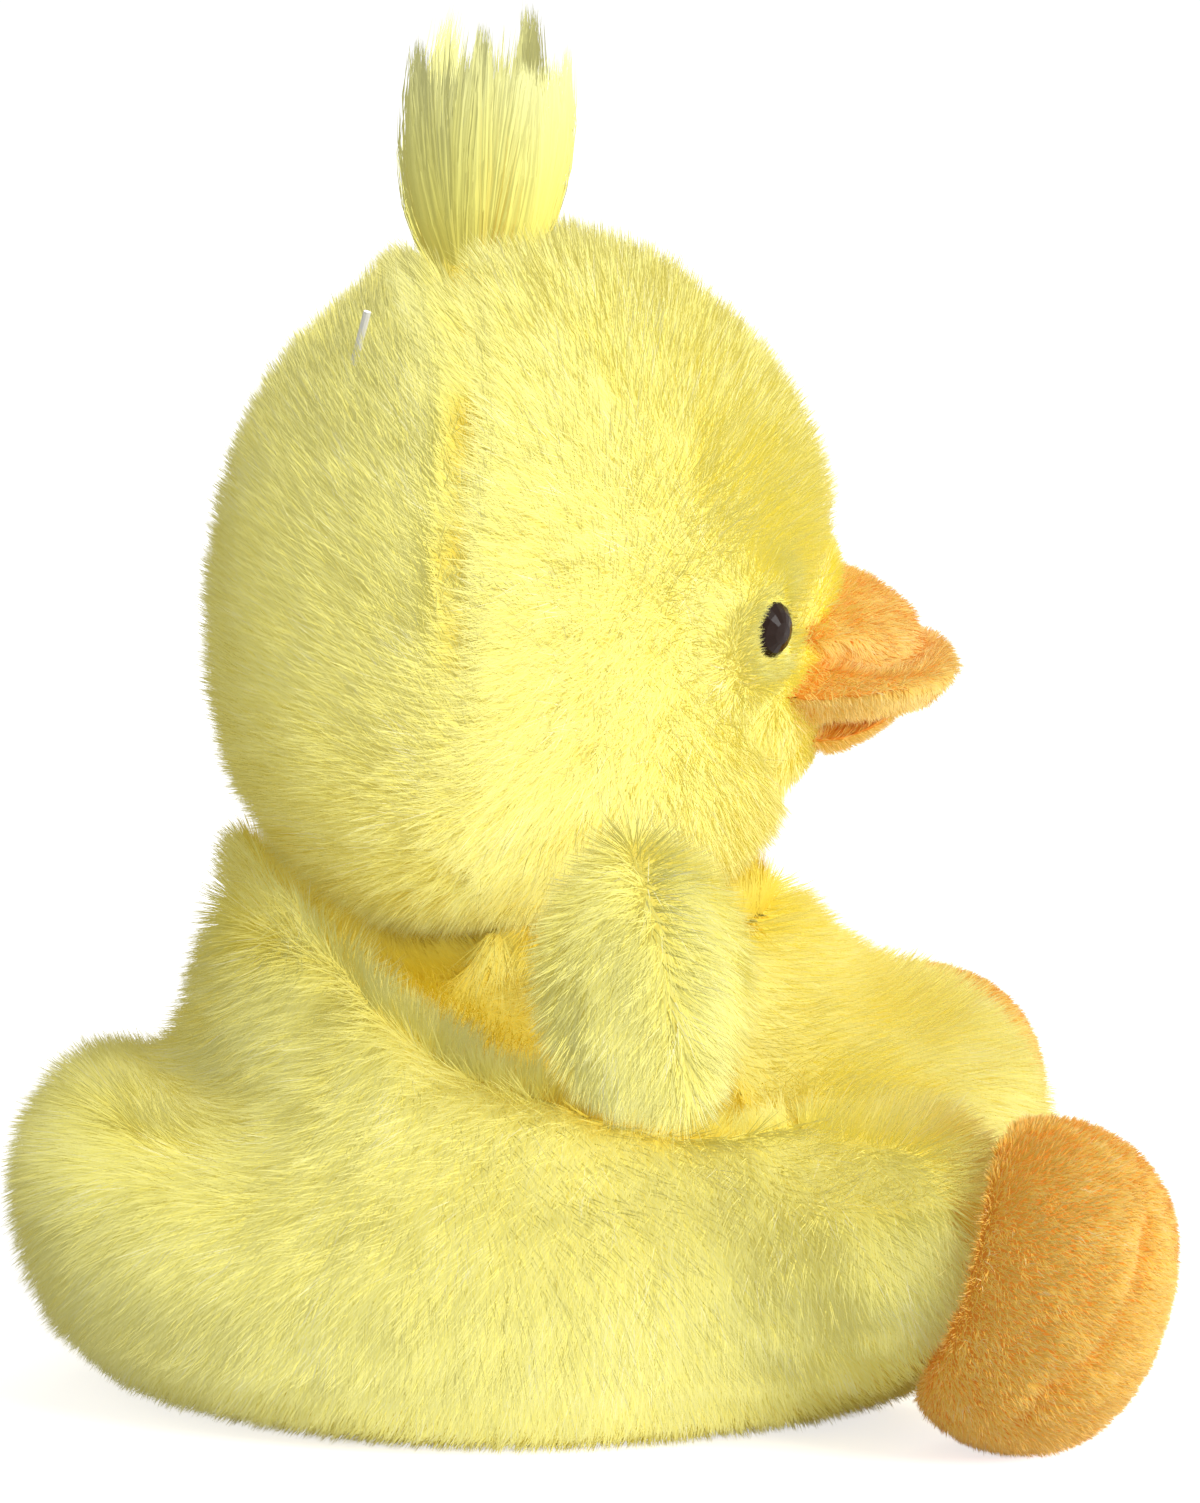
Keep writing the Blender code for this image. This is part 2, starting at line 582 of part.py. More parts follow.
# Wings: a padded leaf of two panels over a filling, hinged where its root meets the torso
WING_RADII = np.array((WING_REACH, WING_LENGTH, WING_HEIGHT)) / 2
WING_MELT = WING_REACH * 0.05
WING_ROOM_SHARES = (-1, -0.5, 0.5, 1)
for side, label in SIDES:
    wing_place = np.array((side * WING_SPREAD, 0, WING_CENTRE_HEIGHT))
    hinge = Vector((side * (WING_SPREAD - WING_REACH / 2), 0, WING_CENTRE_HEIGHT))
    wing_lumps = [lump(wing_place, WING_RADII, 2.1)]
    insets = {"outer": (0, 12, 18), "inner": (WING_PLUSH, 8, 12), "core": (WING_PLUSH + GAP, 8, 12)}
    guides = {
        part: soft_guide(f"{label} wing {part}", wing_place, wing_lumps, WING_MELT, *inset)
        for part, inset in insets.items()
    }
    clearing = [torso_hole, head_reach, seat_reach]
    for share in WING_ROOM_SHARES:
        for guide in (seat_reach, torso_hole):
            name = f"{label} wing room {share} {guide.name}"
            clearing.append(swung_copy(guide, name, hinge, (0, 0, 1), WING_SWING * share))
    lean = (0, -math.cos(WING_SEAM_LEAN), math.sin(WING_SEAM_LEAN))
    for part, facing in (("front", 1), ("back", -1)):
        panel = piece_from(guides["outer"], f"{label}_wing_{part}_panel", YELLOW_PLUSH)
        way = Vector(lean) * facing
        cut(panel, guides["inner"], *clearing)
        keep(panel, space(f"{label} wing {part} half", Vector(wing_place) + way * GAP / 2, way))
        set_origin(panel, hinge)
    wing_stuffing = piece_from(guides["core"], f"{label}_wing_stuffing", FIBRE)
    cut(wing_stuffing, *clearing)
    set_origin(wing_stuffing, hinge)

# Feet: thick oval pads, splayed and leaning, each a cap over its ankle
FOOT_RADII = np.array((FOOT_WIDTH, FOOT_THICKNESS, FOOT_HEIGHT)) / 2
FOOT_LUMPS = [lump((0, 0, 0), FOOT_RADII, 2.35)]
FOOT_MELT = FOOT_THICKNESS * 0.02
front_end = 0.0
for side, label in SIDES:
    ankle = Vector(ankle_place(side))
    turn = Matrix.Rotation(side * FOOT_SPLAY, 4, "Z") @ Matrix.Rotation(FOOT_LEAN, 4, "X")
    ahead = turn @ Vector((0, -1, 0))
    across = turn @ Vector((1, 0, 0))
    foot_centre = ankle + ahead * FOOT_REACH
    pose = Matrix.Translation(foot_centre) @ turn
    insets = {"outer": (0, 12, 20), "inner": (FOOT_PLUSH, 8, 12), "core": (FOOT_PLUSH + GAP, 8, 12)}
    guides = {}
    for part, inset in insets.items():
        guides[part] = soft_guide(f"{label} foot {part}", np.zeros(3), FOOT_LUMPS, FOOT_MELT, *inset)
        guides[part].matrix_world = pose
    ankle_ball = turned(f"{label} ankle ball", ball_profile(ANKLE_RADIUS + ANKLE_PLAY, 10), 18)
    ankle_ball.location = ankle
    front_end = min(front_end, min((pose @ vertex.co).y for vertex in guides["outer"].data.vertices))
    beyond_rim = space(f"{label} beyond rim", ankle + ahead * ANKLE_RIM_REACH, ahead)
    clearing = [ankle_ball, seat_reach]
    for index, angle in enumerate((FOOT_FLEX_UP, -FOOT_FLEX_DOWN)):
        clearing.append(swung_copy(seat_reach, f"{label} foot room {index}", ankle, across, angle))
    sole_way = turn @ Vector((0, -math.cos(SOLE_PITCH), -math.sin(SOLE_PITCH)))
    seam_place = foot_centre + sole_way * SOLE_SEAM_REACH
    foot_upper = piece_from(guides["outer"], f"{label}_foot_upper", ORANGE_PLUSH)
    foot_sole = piece_from(guides["outer"], f"{label}_foot_sole", ORANGE_PLUSH)
    for panel, facing in ((foot_upper, -1), (foot_sole, 1)):
        way = sole_way * facing
        cut(panel, guides["inner"], *clearing)
        keep(panel, beyond_rim, space(f"{panel.name} side", seam_place + way * GAP / 2, way))
        set_origin(panel, ankle)
    foot_stuffing = piece_from(guides["core"], f"{label}_foot_stuffing", FIBRE)
    keep(cut(foot_stuffing, *clearing), beyond_rim)
    set_origin(foot_stuffing, ankle)

# The whole duck is moved so that its origin is under the middle of its length
back_end = max(vertex.co.y for vertex in seat_outer.data.vertices)
root = bpy.data.objects.new("root", None)
bpy.context.collection.objects.link(root)
for made in bpy.data.objects:
    if made is not root:
        made.parent = root
root.location.y = -(front_end + back_end) / 2
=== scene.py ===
"""The looks of the stuffed duck: long yellow pile, short orange plush, glossy eyes and a clear pin."""

import json
import math

import bmesh
import bpy
import numpy as np
from mathutils import Matrix, Vector
from mathutils.bvhtree import BVHTree


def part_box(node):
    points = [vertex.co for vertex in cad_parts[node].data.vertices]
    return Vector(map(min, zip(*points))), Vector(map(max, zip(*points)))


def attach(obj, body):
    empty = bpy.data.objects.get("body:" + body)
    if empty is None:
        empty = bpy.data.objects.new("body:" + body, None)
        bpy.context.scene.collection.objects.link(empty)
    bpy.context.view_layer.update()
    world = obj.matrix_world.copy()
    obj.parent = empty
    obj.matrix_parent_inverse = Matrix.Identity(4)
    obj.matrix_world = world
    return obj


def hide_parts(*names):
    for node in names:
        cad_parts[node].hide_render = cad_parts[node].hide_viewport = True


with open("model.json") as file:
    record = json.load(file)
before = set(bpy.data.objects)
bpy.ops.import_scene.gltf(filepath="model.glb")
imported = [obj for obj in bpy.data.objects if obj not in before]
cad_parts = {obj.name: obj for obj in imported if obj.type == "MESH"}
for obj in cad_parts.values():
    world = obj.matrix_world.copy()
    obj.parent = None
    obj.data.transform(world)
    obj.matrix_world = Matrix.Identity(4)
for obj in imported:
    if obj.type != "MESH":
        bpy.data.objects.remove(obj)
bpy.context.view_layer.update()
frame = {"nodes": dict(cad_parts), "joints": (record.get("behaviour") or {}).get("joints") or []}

# Camera. It looks at the duck's right side, from a little behind and above, 0.8 m away.
# The view is 106 mm wide at the duck.
JOINTS = {joint["name"]: joint for joint in frame["joints"]}
MIDDLE_Y = JOINTS["right_wing_swing"]["pos_m"][1]
CAMERA_AZIMUTH = math.radians(-97)
CAMERA_ELEVATION = math.radians(10)
CAMERA_DISTANCE = 0.8
VIEW_WIDTH = 0.1062
VIEW_CENTRE = Vector((0, MIDDLE_Y, 0.0559))

camera_data = bpy.data.cameras.new("camera")
camera_data.sensor_fit = "HORIZONTAL"
camera_data.sensor_width = 36
camera_data.lens = camera_data.sensor_width * CAMERA_DISTANCE / VIEW_WIDTH
camera = bpy.data.objects.new("camera", camera_data)
bpy.context.collection.objects.link(camera)
outward = Vector(
    (
        math.sin(CAMERA_AZIMUTH) * math.cos(CAMERA_ELEVATION),
        -math.cos(CAMERA_AZIMUTH) * math.cos(CAMERA_ELEVATION),
        math.sin(CAMERA_ELEVATION),
    )
)
camera.matrix_world = (
    Matrix.Translation(VIEW_CENTRE + outward * CAMERA_DISTANCE)
    @ outward.to_track_quat("Z", "Y").to_matrix().to_4x4()
)
bpy.context.scene.camera = camera
bpy.context.scene.view_settings.view_transform = "Standard"

# Seat and torso. The real ones are one bag of long-pile plush, with beans in the seat and fibre above
# them. The side panels fold over into a lip, with a deep crease between them and the torso. The cloth
# that carries the pile is made first, from the CAD solids, and then the pile is grown on it.


def melted(name, nodes, voxel, smoothing, plugs=()):
    """The outside of these CAD nodes as one smooth skin. Plugs are (place, radius) balls that each
    close a socket."""
    heap = bmesh.new()
    for node in nodes:
        heap.from_mesh(frame["nodes"][node].data)
    bmesh.ops.remove_doubles(heap, verts=heap.verts, dist=1e-6)
    for place, radius in plugs:
        bmesh.ops.create_icosphere(heap, subdivisions=3, radius=radius, matrix=Matrix.Translation(place))
    mesh = bpy.data.meshes.new(name)
    heap.to_mesh(mesh)
    heap.free()
    raw = bpy.data.objects.new(name + "_raw", mesh)
    bpy.context.collection.objects.link(raw)
    remesh = raw.modifiers.new("melt", "REMESH")
    remesh.mode = "VOXEL"
    remesh.voxel_size = voxel
    remesh.use_smooth_shade = True
    smooth = raw.modifiers.new("smooth", "SMOOTH")
    smooth.factor = 0.5
    smooth.iterations = smoothing
    mesh = bpy.data.meshes.new_from_object(raw.evaluated_get(bpy.context.evaluated_depsgraph_get()))
    bpy.data.objects.remove(raw)
    keep_largest_shell(mesh)
    mesh.name = name
    skin = bpy.data.objects.new(name, mesh)
    bpy.context.collection.objects.link(skin)
    return skin


def keep_largest_shell(mesh):
    """Drops the shells that the voxels leave inside a hollow piece."""
    body = bmesh.new()
    body.from_mesh(mesh)
    body.verts.ensure_lookup_table()
    seen = set()
    best = []
    for start in body.verts:
        if start.index in seen:
            continue
        shell = [start]
        seen.add(start.index)
        for vertex in shell:
            for edge in vertex.link_edges:
                other = edge.other_vert(vertex)
                if other.index not in seen:
                    seen.add(other.index)
                    shell.append(other)
        if len(shell) > len(best):
            best = shell
    kept = set(best)
    bmesh.ops.delete(body, geom=[v for v in body.verts if v not in kept], context="VERTS")
    body.to_mesh(mesh)
    body.free()


def points_of(skin):
    mesh = skin.data
    place = np.empty(len(mesh.vertices) * 3, np.float32)
    mesh.vertices.foreach_get("co", place)
    normal = np.empty(len(mesh.vertices) * 3, np.float32)
    mesh.vertex_normals.foreach_get("vector", normal)
    return place.reshape(-1, 3).astype(float), normal.reshape(-1, 3).astype(float)


def set_points(skin, place):
    skin.data.vertices.foreach_set("co", np.asarray(place, np.float32).ravel())
    skin.data.update()


def eased(skin, values, rounds):
    """Values on a skin's points, evened out between neighbours."""
    edges = np.empty(len(skin.data.edges) * 2, np.int32)
    skin.data.edges.foreach_get("vertices", edges)
    first, second = edges[0::2], edges[1::2]
    flat = values.reshape(len(values), -1)
    count = np.bincount(edges, minlength=len(flat))[:, None]
    for _ in range(rounds):
        total = np.empty_like(flat)
        for column in range(flat.shape[1]):
            total[:, column] = np.bincount(first, flat[second, column], len(flat)) + np.bincount(
                second, flat[first, column], len(flat)
            )
        flat = 0.5 * flat + 0.5 * total / np.maximum(count, 1)
    return flat.reshape(values.shape)


def unit(vectors):
    return vectors / np.maximum(np.linalg.norm(vectors, axis=-1, keepdims=True), 1e-9)


def ramp(values, low, high):
    """0 up to low, 1 from high, and smooth between them."""
    share = np.clip((values - low) / (high - low), 0, 1)
    return share * share * (3 - 2 * share)


def bump(distance, width):
    return np.exp(-((distance / width) ** 2))


def from_line(place, line):
    """How far each place is from a line of points in mm, the way off the line, and its nearest point.
    The line is given for the duck's right side and serves both sides."""
    folded = place.copy()
    folded[:, 0] = -np.abs(folded[:, 0])
    points = np.array(line) * 0.001
    best = np.full(len(place), 1.0)
    nearest = np.zeros_like(place)
    for start, end in zip(points, points[1:]):
        step = end - start
        share = np.clip((folded - start) @ step / (step @ step), 0, 1)[:, None]
        spot = start + share * step
        distance = np.linalg.norm(folded - spot, axis=1)
        closer = distance < best
        best[closer] = distance[closer]
        nearest[closer] = spot[closer]
    return best, folded - nearest, nearest


def solids_of(*objects):
    corners, faces = [], []
    for thing in objects:
        start = len(corners)
        corners += [vertex.co[:] for vertex in thing.data.vertices]
        faces += [tuple(start + i for i in face.vertices) for face in thing.data.polygons]
    return BVHTree.FromPolygons(corners, faces)


RAY_START = 0.0012


def closed_in(place, normal, solids, reach=0.022, rays=24):
    """How far each point is shut in by what stands round it: 0 on a free bulge, near 1 in a crease."""
    golden = math.pi * (3 - math.sqrt(5))
    share = (np.arange(rays) + 0.5) / rays
    rise, spread, turn = np.sqrt(1 - share), np.sqrt(share), golden * np.arange(rays)
    side = unit(np.cross(normal, np.where(np.abs(normal[:, 2:]) < 0.9, [[0.0, 0, 1]], [[1.0, 0, 0]])))
    other = np.cross(normal, side)
    result = np.zeros(len(place))
    starts = place + normal * RAY_START
    for ray in range(rays):
        ways = (
            side * (spread[ray] * math.cos(turn[ray]))
            + other * (spread[ray] * math.sin(turn[ray]))
            + normal * rise[ray]
        )
        for index, (start, way) in enumerate(zip(starts.tolist(), ways.tolist())):
            found = solids.ray_cast(start, way, reach)[3]
            if found is not None:
                result[index] += 1 - found / reach
    return result / rays


def room_over(place, normal, solids, reach):
    """The share of this reach that is free straight above each point."""
    free = np.ones(len(place))
    for index, (start, way) in enumerate(zip(place.tolist(), normal.tolist())):
        found = solids.ray_cast(start, way, reach)[3]
        if found is not None:
            free[index] = found / reach
    return free


def along(way, normal):
    """The part of a direction that lies in the surface."""
    return unit(way - normal * np.sum(way * normal, axis=1, keepdims=True))


def comb(skin, way, tall, shade):
    """Stores on a skin's points which way its pile is combed, how long it is and its painted shade."""
    layers = (("way", "FLOAT_VECTOR", way), ("tall", "FLOAT", tall), ("shade", "FLOAT", shade))
    for name, kind, values in layers:
        layer = skin.data.attributes.new(name, kind, "POINT")
        field = "vector" if kind == "FLOAT_VECTOR" else "value"
        layer.data.foreach_set(field, np.asarray(values, np.float32).ravel())


def pile_blade(cuts):
    """One fibre as a thin pointed strip with a front and a back, so that either side takes the light.
    Its points say how far along it (z), on which side (x) and on which face (y) they lie."""
    body = bmesh.new()
    for face, turn in ((0, 1), (1, -1)):
        rows = []
        for row in range(cuts):
            rows.append([body.verts.new((side * turn, face, row / cuts)) for side in (-1, 1)])
        tip = body.verts.new((0, face, 1))
        for lower, upper in zip(rows, rows[1:]):
            body.faces.new((lower[0], lower[1], upper[1], upper[0]))
        body.faces.new((rows[-1][0], rows[-1][1], tip))
    mesh = bpy.data.meshes.new("fibre")
    body.to_mesh(mesh)
    body.free()
    blade = bpy.data.objects.new("fibre", mesh)
    bpy.context.collection.objects.link(blade)
    return blade


class Tree:
    """A short way to write a node tree: each call adds a node, sets it and links its inputs."""

    def __init__(self, tree):
        self.tree = tree

    def add(self, kind, inputs=(), out=0, **settings):
        node = self.tree.nodes.new(kind)
        for key, value in settings.items():
            setattr(node, key, value)
        items = inputs.items() if isinstance(inputs, dict) else enumerate(inputs)
        for key, value in items:
            if isinstance(value, bpy.types.NodeSocket):
                self.tree.links.new(value, node.inputs[key])
            elif value is not None:
                node.inputs[key].default_value = value
        return node.outputs[out] if out is not None else node

    def vector(self, operation, *inputs):
        return self.add("ShaderNodeVectorMath", inputs, operation=operation)

    def number(self, operation, *inputs):
        return self.add("ShaderNodeMath", inputs, operation=operation)

    def scale(self, vector, factor):
        return self.add("ShaderNodeVectorMath", {0: vector, "Scale": factor}, operation="SCALE")

    def total(self, *vectors):
        result = vectors[0]
        for vector in vectors[1:]:
            result = self.vector("ADD", result, vector)
        return result

    def split(self, vector):
        return self.add("ShaderNodeSeparateXYZ", [vector], None).outputs

    def named(self, name, kind="FLOAT_VECTOR"):
        return self.add("GeometryNodeInputNamedAttribute", [name], data_type=kind)

    def store(self, geometry, name, value, kind="FLOAT_VECTOR", domain="POINT"):
        inputs = {"Geometry": geometry, "Name": name, "Value": value}
        return self.add("GeometryNodeStoreNamedAttribute", inputs, data_type=kind, domain=domain)


PILE_INPUTS = {
    "Density": "Float",
    "Length": "Float",
    "Width": "Float",
    "Rise": "Float",
    "Lean": "Float",
    "Lock Size": "Float",
    "Lock Pull": "Float",
    "Stray": "Float",
    "Wave": "Float",
    "Lift": "Float",
    "Floor": "Float",
    "Seed": "Int",
    "Blade": "Object",
    "Fibre": "Material",
}
STORED = ("root", "normal", "jitter", "tone", "way", "tall", "shade", "thick")
SHORTEST_FIBRE = 0.72  # of the longest one beside it
FIBRE_THICKNESS = 0.12  # of its width
ROOT_BEND = 0.35  # towards the combed way
TWIST = 0.4
CURL_FINENESS = 1.7  # curls to one lock
LOCK_SHADING = 0.16
FIBRE_SHADING = 0.06
GLINTING_SHARE = 0.06


def pile_tree():
    """Grows a blade at each of many points of a skin, bent from upright towards the combed way."""
    group = bpy.data.node_groups.new("sewn pile", "GeometryNodeTree")
    group.interface.new_socket("Geometry", in_out="INPUT", socket_type="NodeSocketGeometry")
    for name, kind in PILE_INPUTS.items():
        group.interface.new_socket(name, in_out="INPUT", socket_type="NodeSocket" + kind)
    group.interface.new_socket("Geometry", in_out="OUTPUT", socket_type="NodeSocketGeometry")
    t = Tree(group)
    given = group.nodes.new("NodeGroupInput").outputs
    density = t.number("MULTIPLY", given["Density"], t.named("thick", "FLOAT"))
    scatter = {"Mesh": given["Geometry"], "Density": density, "Seed": given["Seed"]}
    scatter = t.add("GeometryNodeDistributePointsOnFaces", scatter, None).outputs
    points = t.store(scatter["Points"], "root", t.add("GeometryNodeInputPosition"))
    points = t.store(points, "normal", scatter["Normal"])
    chance = {"Min": (-1, -1, -1), "Max": (1, 1, 1), "Seed": given["Seed"]}
    points = t.store(points, "jitter", t.add("FunctionNodeRandomValue", chance, data_type="FLOAT_VECTOR"))
    chance = {2: 0.0, 3: 1.0, "Seed": given["Seed"]}
    points = t.store(points, "tone", t.add("FunctionNodeRandomValue", chance, 1, data_type="FLOAT"), "FLOAT")
    blade = t.add("GeometryNodeObjectInfo", {"Object": given["Blade"]}, "Geometry")
    strands = t.add("GeometryNodeInstanceOnPoints", {"Points": points, "Instance": blade})
    strands = t.add("GeometryNodeRealizeInstances", {"Geometry": strands})

    root, normal, way = t.named("root"), t.named("normal"), t.named("way")
    jitter, tone = t.named("jitter"), t.named("tone", "FLOAT")
    parts = t.split(t.vector("SUBTRACT", t.add("GeometryNodeInputPosition"), root))
    side, up = parts["X"], parts["Z"]
    fine = t.number("DIVIDE", 1.0, given["Lock Size"])
    lock = t.add("ShaderNodeTexNoise", {"Vector": root, "Scale": fine, "Detail": 1.5}, "Color")
    lock = t.vector("SUBTRACT", lock, (0.5, 0.5, 0.5))
    pull = t.vector("ADD", t.scale(lock, given["Lock Pull"]), t.scale(jitter, given["Stray"]))
    start = t.vector("NORMALIZE", t.total(t.scale(normal, given["Rise"]), t.scale(way, ROOT_BEND), pull))
    end = t.vector("NORMALIZE", t.total(t.scale(normal, given["Lean"]), way, pull))
    length = t.number("MULTIPLY", given["Length"], t.named("tall", "FLOAT"))
    uneven = t.add("ShaderNodeMapRange", {"Value": tone, "To Min": SHORTEST_FIBRE, "To Max": 1.0})
    length = t.number("MULTIPLY", length, uneven)
    half = t.number("MULTIPLY", t.number("MULTIPLY", up, up), 0.5)
    curve = t.vector("ADD", t.scale(start, t.number("SUBTRACT", up, half)), t.scale(end, half))
    heading = t.vector("ADD", t.scale(start, t.number("SUBTRACT", 1.0, up)), t.scale(end, up))
    flat = t.vector("NORMALIZE", t.vector("CROSS_PRODUCT", heading, normal))
    roll = t.scale(t.vector("CROSS_PRODUCT", heading, flat), t.split(jitter)["Y"])
    across = t.vector("NORMALIZE", t.vector("ADD", flat, t.scale(roll, TWIST)))
    spread = t.number("MULTIPLY", t.number("MULTIPLY", side, given["Width"]), 0.5)
    thin = t.number("MULTIPLY", parts["Y"], t.number("MULTIPLY", given["Width"], FIBRE_THICKNESS))
    behind = t.scale(t.vector("CROSS_PRODUCT", heading, across), thin)
    centre = t.vector("ADD", root, t.scale(curve, length))
    curl = {"Vector": centre, "Scale": t.number("MULTIPLY", fine, CURL_FINENESS), "Detail": 1.0}
    curl = t.add("ShaderNodeTexNoise", curl, "Color")
    curl = t.scale(t.vector("SUBTRACT", curl, (0.5, 0.5, 0.5)), t.number("MULTIPLY", up, given["Wave"]))
    place = t.split(t.total(centre, curl, t.scale(across, spread), behind))
    height = t.number("MAXIMUM", place["Z"], given["Floor"])
    place = t.add("ShaderNodeCombineXYZ", [place["X"], place["Y"], height])

    # The first bake coordinate runs along the fibre. The second holds its tone, from 0.4 up in the
    # open. It falls below 0.2 in a crease, where the material gives the deeper colour as painted shade,
    # and it is over 0.9 on the few fibres that are painted pale as glints.
    tuft = t.number("ADD", t.number("MULTIPLY", tone, 0.45), t.number("MULTIPLY", t.split(lock)["X"], 1.4))
    tuft = t.add("ShaderNodeClamp", [t.number("ADD", tuft, 0.22), 0.0, 0.86])
    # Painted highlight: a few random fibres are marked to be painted pale as glints.
    glinting = t.number("MULTIPLY", t.number("GREATER_THAN", tone, 1 - GLINTING_SHARE), 0.14)
    tuft = t.number("ADD", tuft, glinting)
    light = t.number("ADD", t.number("MULTIPLY", tuft, 0.58), 0.4)
    crease_shade = t.number("MULTIPLY", tuft, 0.2)
    v = t.add("ShaderNodeMix", {0: t.named("shade", "FLOAT"), 2: light, 3: crease_shade}, data_type="FLOAT")
    v = t.number("ADD", v, t.number("MULTIPLY", side, 0.004))
    uv = t.add("ShaderNodeCombineXYZ", [up, v, 0.0])
    strands = t.store(strands, "OFBake", uv, "FLOAT2", "CORNER")
    strands = t.add("GeometryNodeSetPosition", {"Geometry": strands, "Position": place})
    raised = t.add("ShaderNodeCombineXYZ", [0.0, 0.0, given["Lift"]])
    facing = t.total(normal, raised, t.scale(lock, LOCK_SHADING), t.scale(jitter, FIBRE_SHADING))
    facing = t.vector("NORMALIZE", facing)
    strands = t.add(
        "GeometryNodeSetMeshNormal", {"Mesh": strands, "Custom Normal": facing}, mode="FREE", domain="POINT"
    )
    strands = t.add("GeometryNodeSetMaterial", {"Geometry": strands, "Material": given["Fibre"]})
    t.add("NodeGroupOutput", [strands], None)
    return group


PILE_TREE = pile_tree()
SHORT_BLADE = pile_blade(1)
LONG_BLADE = pile_blade(4)


USUAL_PILE = {"floor": 0.0001, "wave": 0.0008, "lift": 0.0}


def grow(skin, name, body, slot, fibre, thick=1.0, blade=SHORT_BLADE, **sizes):
    """The pile of one skin, or of the part of it where it is thick, as a plain mesh of its own. The
    skin casts the shadow of both, so that the fibres don't darken one another."""
    layer = skin.data.attributes.get("thick") or skin.data.attributes.new("thick", "FLOAT", "POINT")
    values = np.broadcast_to(np.float32(thick), len(skin.data.vertices)).astype(np.float32)
    layer.data.foreach_set("value", values)
    modifier = skin.modifiers.new("pile", "NODES")
    modifier.node_group = PILE_TREE
    inputs = {
        item.name: item.identifier
        for item in PILE_TREE.interface.items_tree
        if item.item_type == "SOCKET" and item.in_out == "INPUT"
    }
    for key, value in {"blade": blade, "fibre": fibre, **USUAL_PILE, **sizes}.items():
        modifier[inputs[key.replace("_", " ").title()]] = value
    skin.data.update()
    bpy.context.view_layer.update()
    mesh = bpy.data.meshes.new_from_object(skin.evaluated_get(bpy.context.evaluated_depsgraph_get()))
    skin.modifiers.remove(modifier)
    for stored in STORED:
        if stored in mesh.attributes:
            mesh.attributes.remove(mesh.attributes[stored])
    mesh.name = name
    pile = bpy.data.objects.new(name, mesh)
    bpy.context.collection.objects.link(pile)
    pile.visible_shadow = False
    pile.visible_diffuse = False
    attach(pile, body)
    return pile


def fibre_finish(name, light, crease_shade, glint_colour, roughness):
    """Pile fibre, coloured from root to tip by the light stops, or in creases by the deeper stops as painted
    shade, and lighter or darker from one tuft to the next. A few fibres are painted pale as glints."""
    finish = bpy.data.materials.new(name)
    finish.use_nodes = True
    t = Tree(finish.node_tree)
    shader = finish.node_tree.nodes["Principled BSDF"]
    shader.inputs["Roughness"].default_value = roughness
    shader.inputs["Specular IOR Level"].default_value = 0.0
    parts = t.split(t.add("ShaderNodeUVMap", uv_map="OFBake"))
    ramps = []
    for stops in (crease_shade, light):
        colours = t.add("ShaderNodeValToRGB", [parts["X"]], None)
        elements = colours.color_ramp.elements
        elements[0].color = (*stops[0], 1)
        elements[1].color = (*stops[-1], 1)
        for index, colour in enumerate(stops[1:-1], 1):
            elements.new(index / (len(stops) - 1)).color = (*colour, 1)
        ramps.append(colours.outputs[0])
    share = {"Value": parts["Y"], "From Min": 0.1, "From Max": 0.4}
    share = t.add("ShaderNodeMapRange", share, interpolation_type="SMOOTHSTEP")
    mixed = t.add("ShaderNodeMix", {0: share, 6: ramps[0], 7: ramps[1]}, 2, data_type="RGBA")
    value = {"Value": parts["Y"], "From Min": 0.4, "To Min": 0.95, "To Max": 1.0}
    value = t.add("ShaderNodeMapRange", value)
    mixed = t.add("ShaderNodeHueSaturation", {"Color": mixed, "Value": value})
    # Painted highlight: the marked fibres are mixed half way to the pale glint colour.
    glint = {"Value": parts["Y"], "From Min": 0.91, "From Max": 0.93, "To Max": 0.5}
    glint = t.add("ShaderNodeMapRange", glint)
    mixed = t.add("ShaderNodeMix", {0: glint, 6: mixed, 7: (*glint_colour, 1)}, 2, data_type="RGBA")
    finish.node_tree.links.new(mixed, shader.inputs["Base Color"])
    return finish


def cloth_finish(name, colour, dark):
    """The knitted backing that the pile stands in: fine loops, seen only deep between the fibres."""
    finish = bpy.data.materials.new(name)
    finish.use_nodes = True
    t = Tree(finish.node_tree)
    shader = finish.node_tree.nodes["Principled BSDF"]
    shader.inputs["Roughness"].default_value = 0.9
    shader.inputs["Specular IOR Level"].default_value = 0.1
    place = t.add("ShaderNodeTexCoord", out="Object")
    mottle = t.add("ShaderNodeTexNoise", {"Vector": place, "Scale": 900.0, "Detail": 3.0})
    mixed = t.add("ShaderNodeMix", {0: mottle, 6: (*dark, 1), 7: (*colour, 1)}, 2, data_type="RGBA")
    finish.node_tree.links.new(mixed, shader.inputs["Base Color"])
    relief = t.add("ShaderNodeBump", {"Strength": 0.4, "Distance": 0.0003, "Height": mottle})
    finish.node_tree.links.new(relief, shader.inputs["Normal"])
    return finish


# From root to tip the light stops grow paler. The deeper root is painted shade for the depth of the pile,
# which casts no shadow on itself.
YELLOW_FIBRE = fibre_finish(
    "yellow fibre",
    light=((0.97, 0.86, 0.18), (0.98, 0.90, 0.22), (0.99, 0.93, 0.28), (1.0, 0.96, 0.41)),
    crease_shade=((0.96, 0.68, 0.07), (0.98, 0.78, 0.10), (0.99, 0.85, 0.16)),
    glint_colour=(1.0, 1.0, 0.78),
    roughness=0.6,
)
YELLOW_CLOTH = cloth_finish("yellow cloth", (0.96, 0.82, 0.16), (0.94, 0.76, 0.12))
PILE_DEPTH = 0.0030
FIBRE_WIDTH = 0.00013
YELLOW_PILE = {
    "density": 25e6,
    "length": 0.0060,
    "width": FIBRE_WIDTH,
    "rise": 1.0,
    "lean": 0.5,
    "stray": 0.35,
    "lock_size": 0.004,
    "lock_pull": 0.45,
}


def clothe(skin, cloth, body, slot, fill, *nodes):
    """Gives a padded piece's skin its cloth and its body, and puts it in place of these nodes; the slot is
    not used.
    """
    skin.data.materials.append(cloth)
    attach(skin, body)
    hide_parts(*nodes)


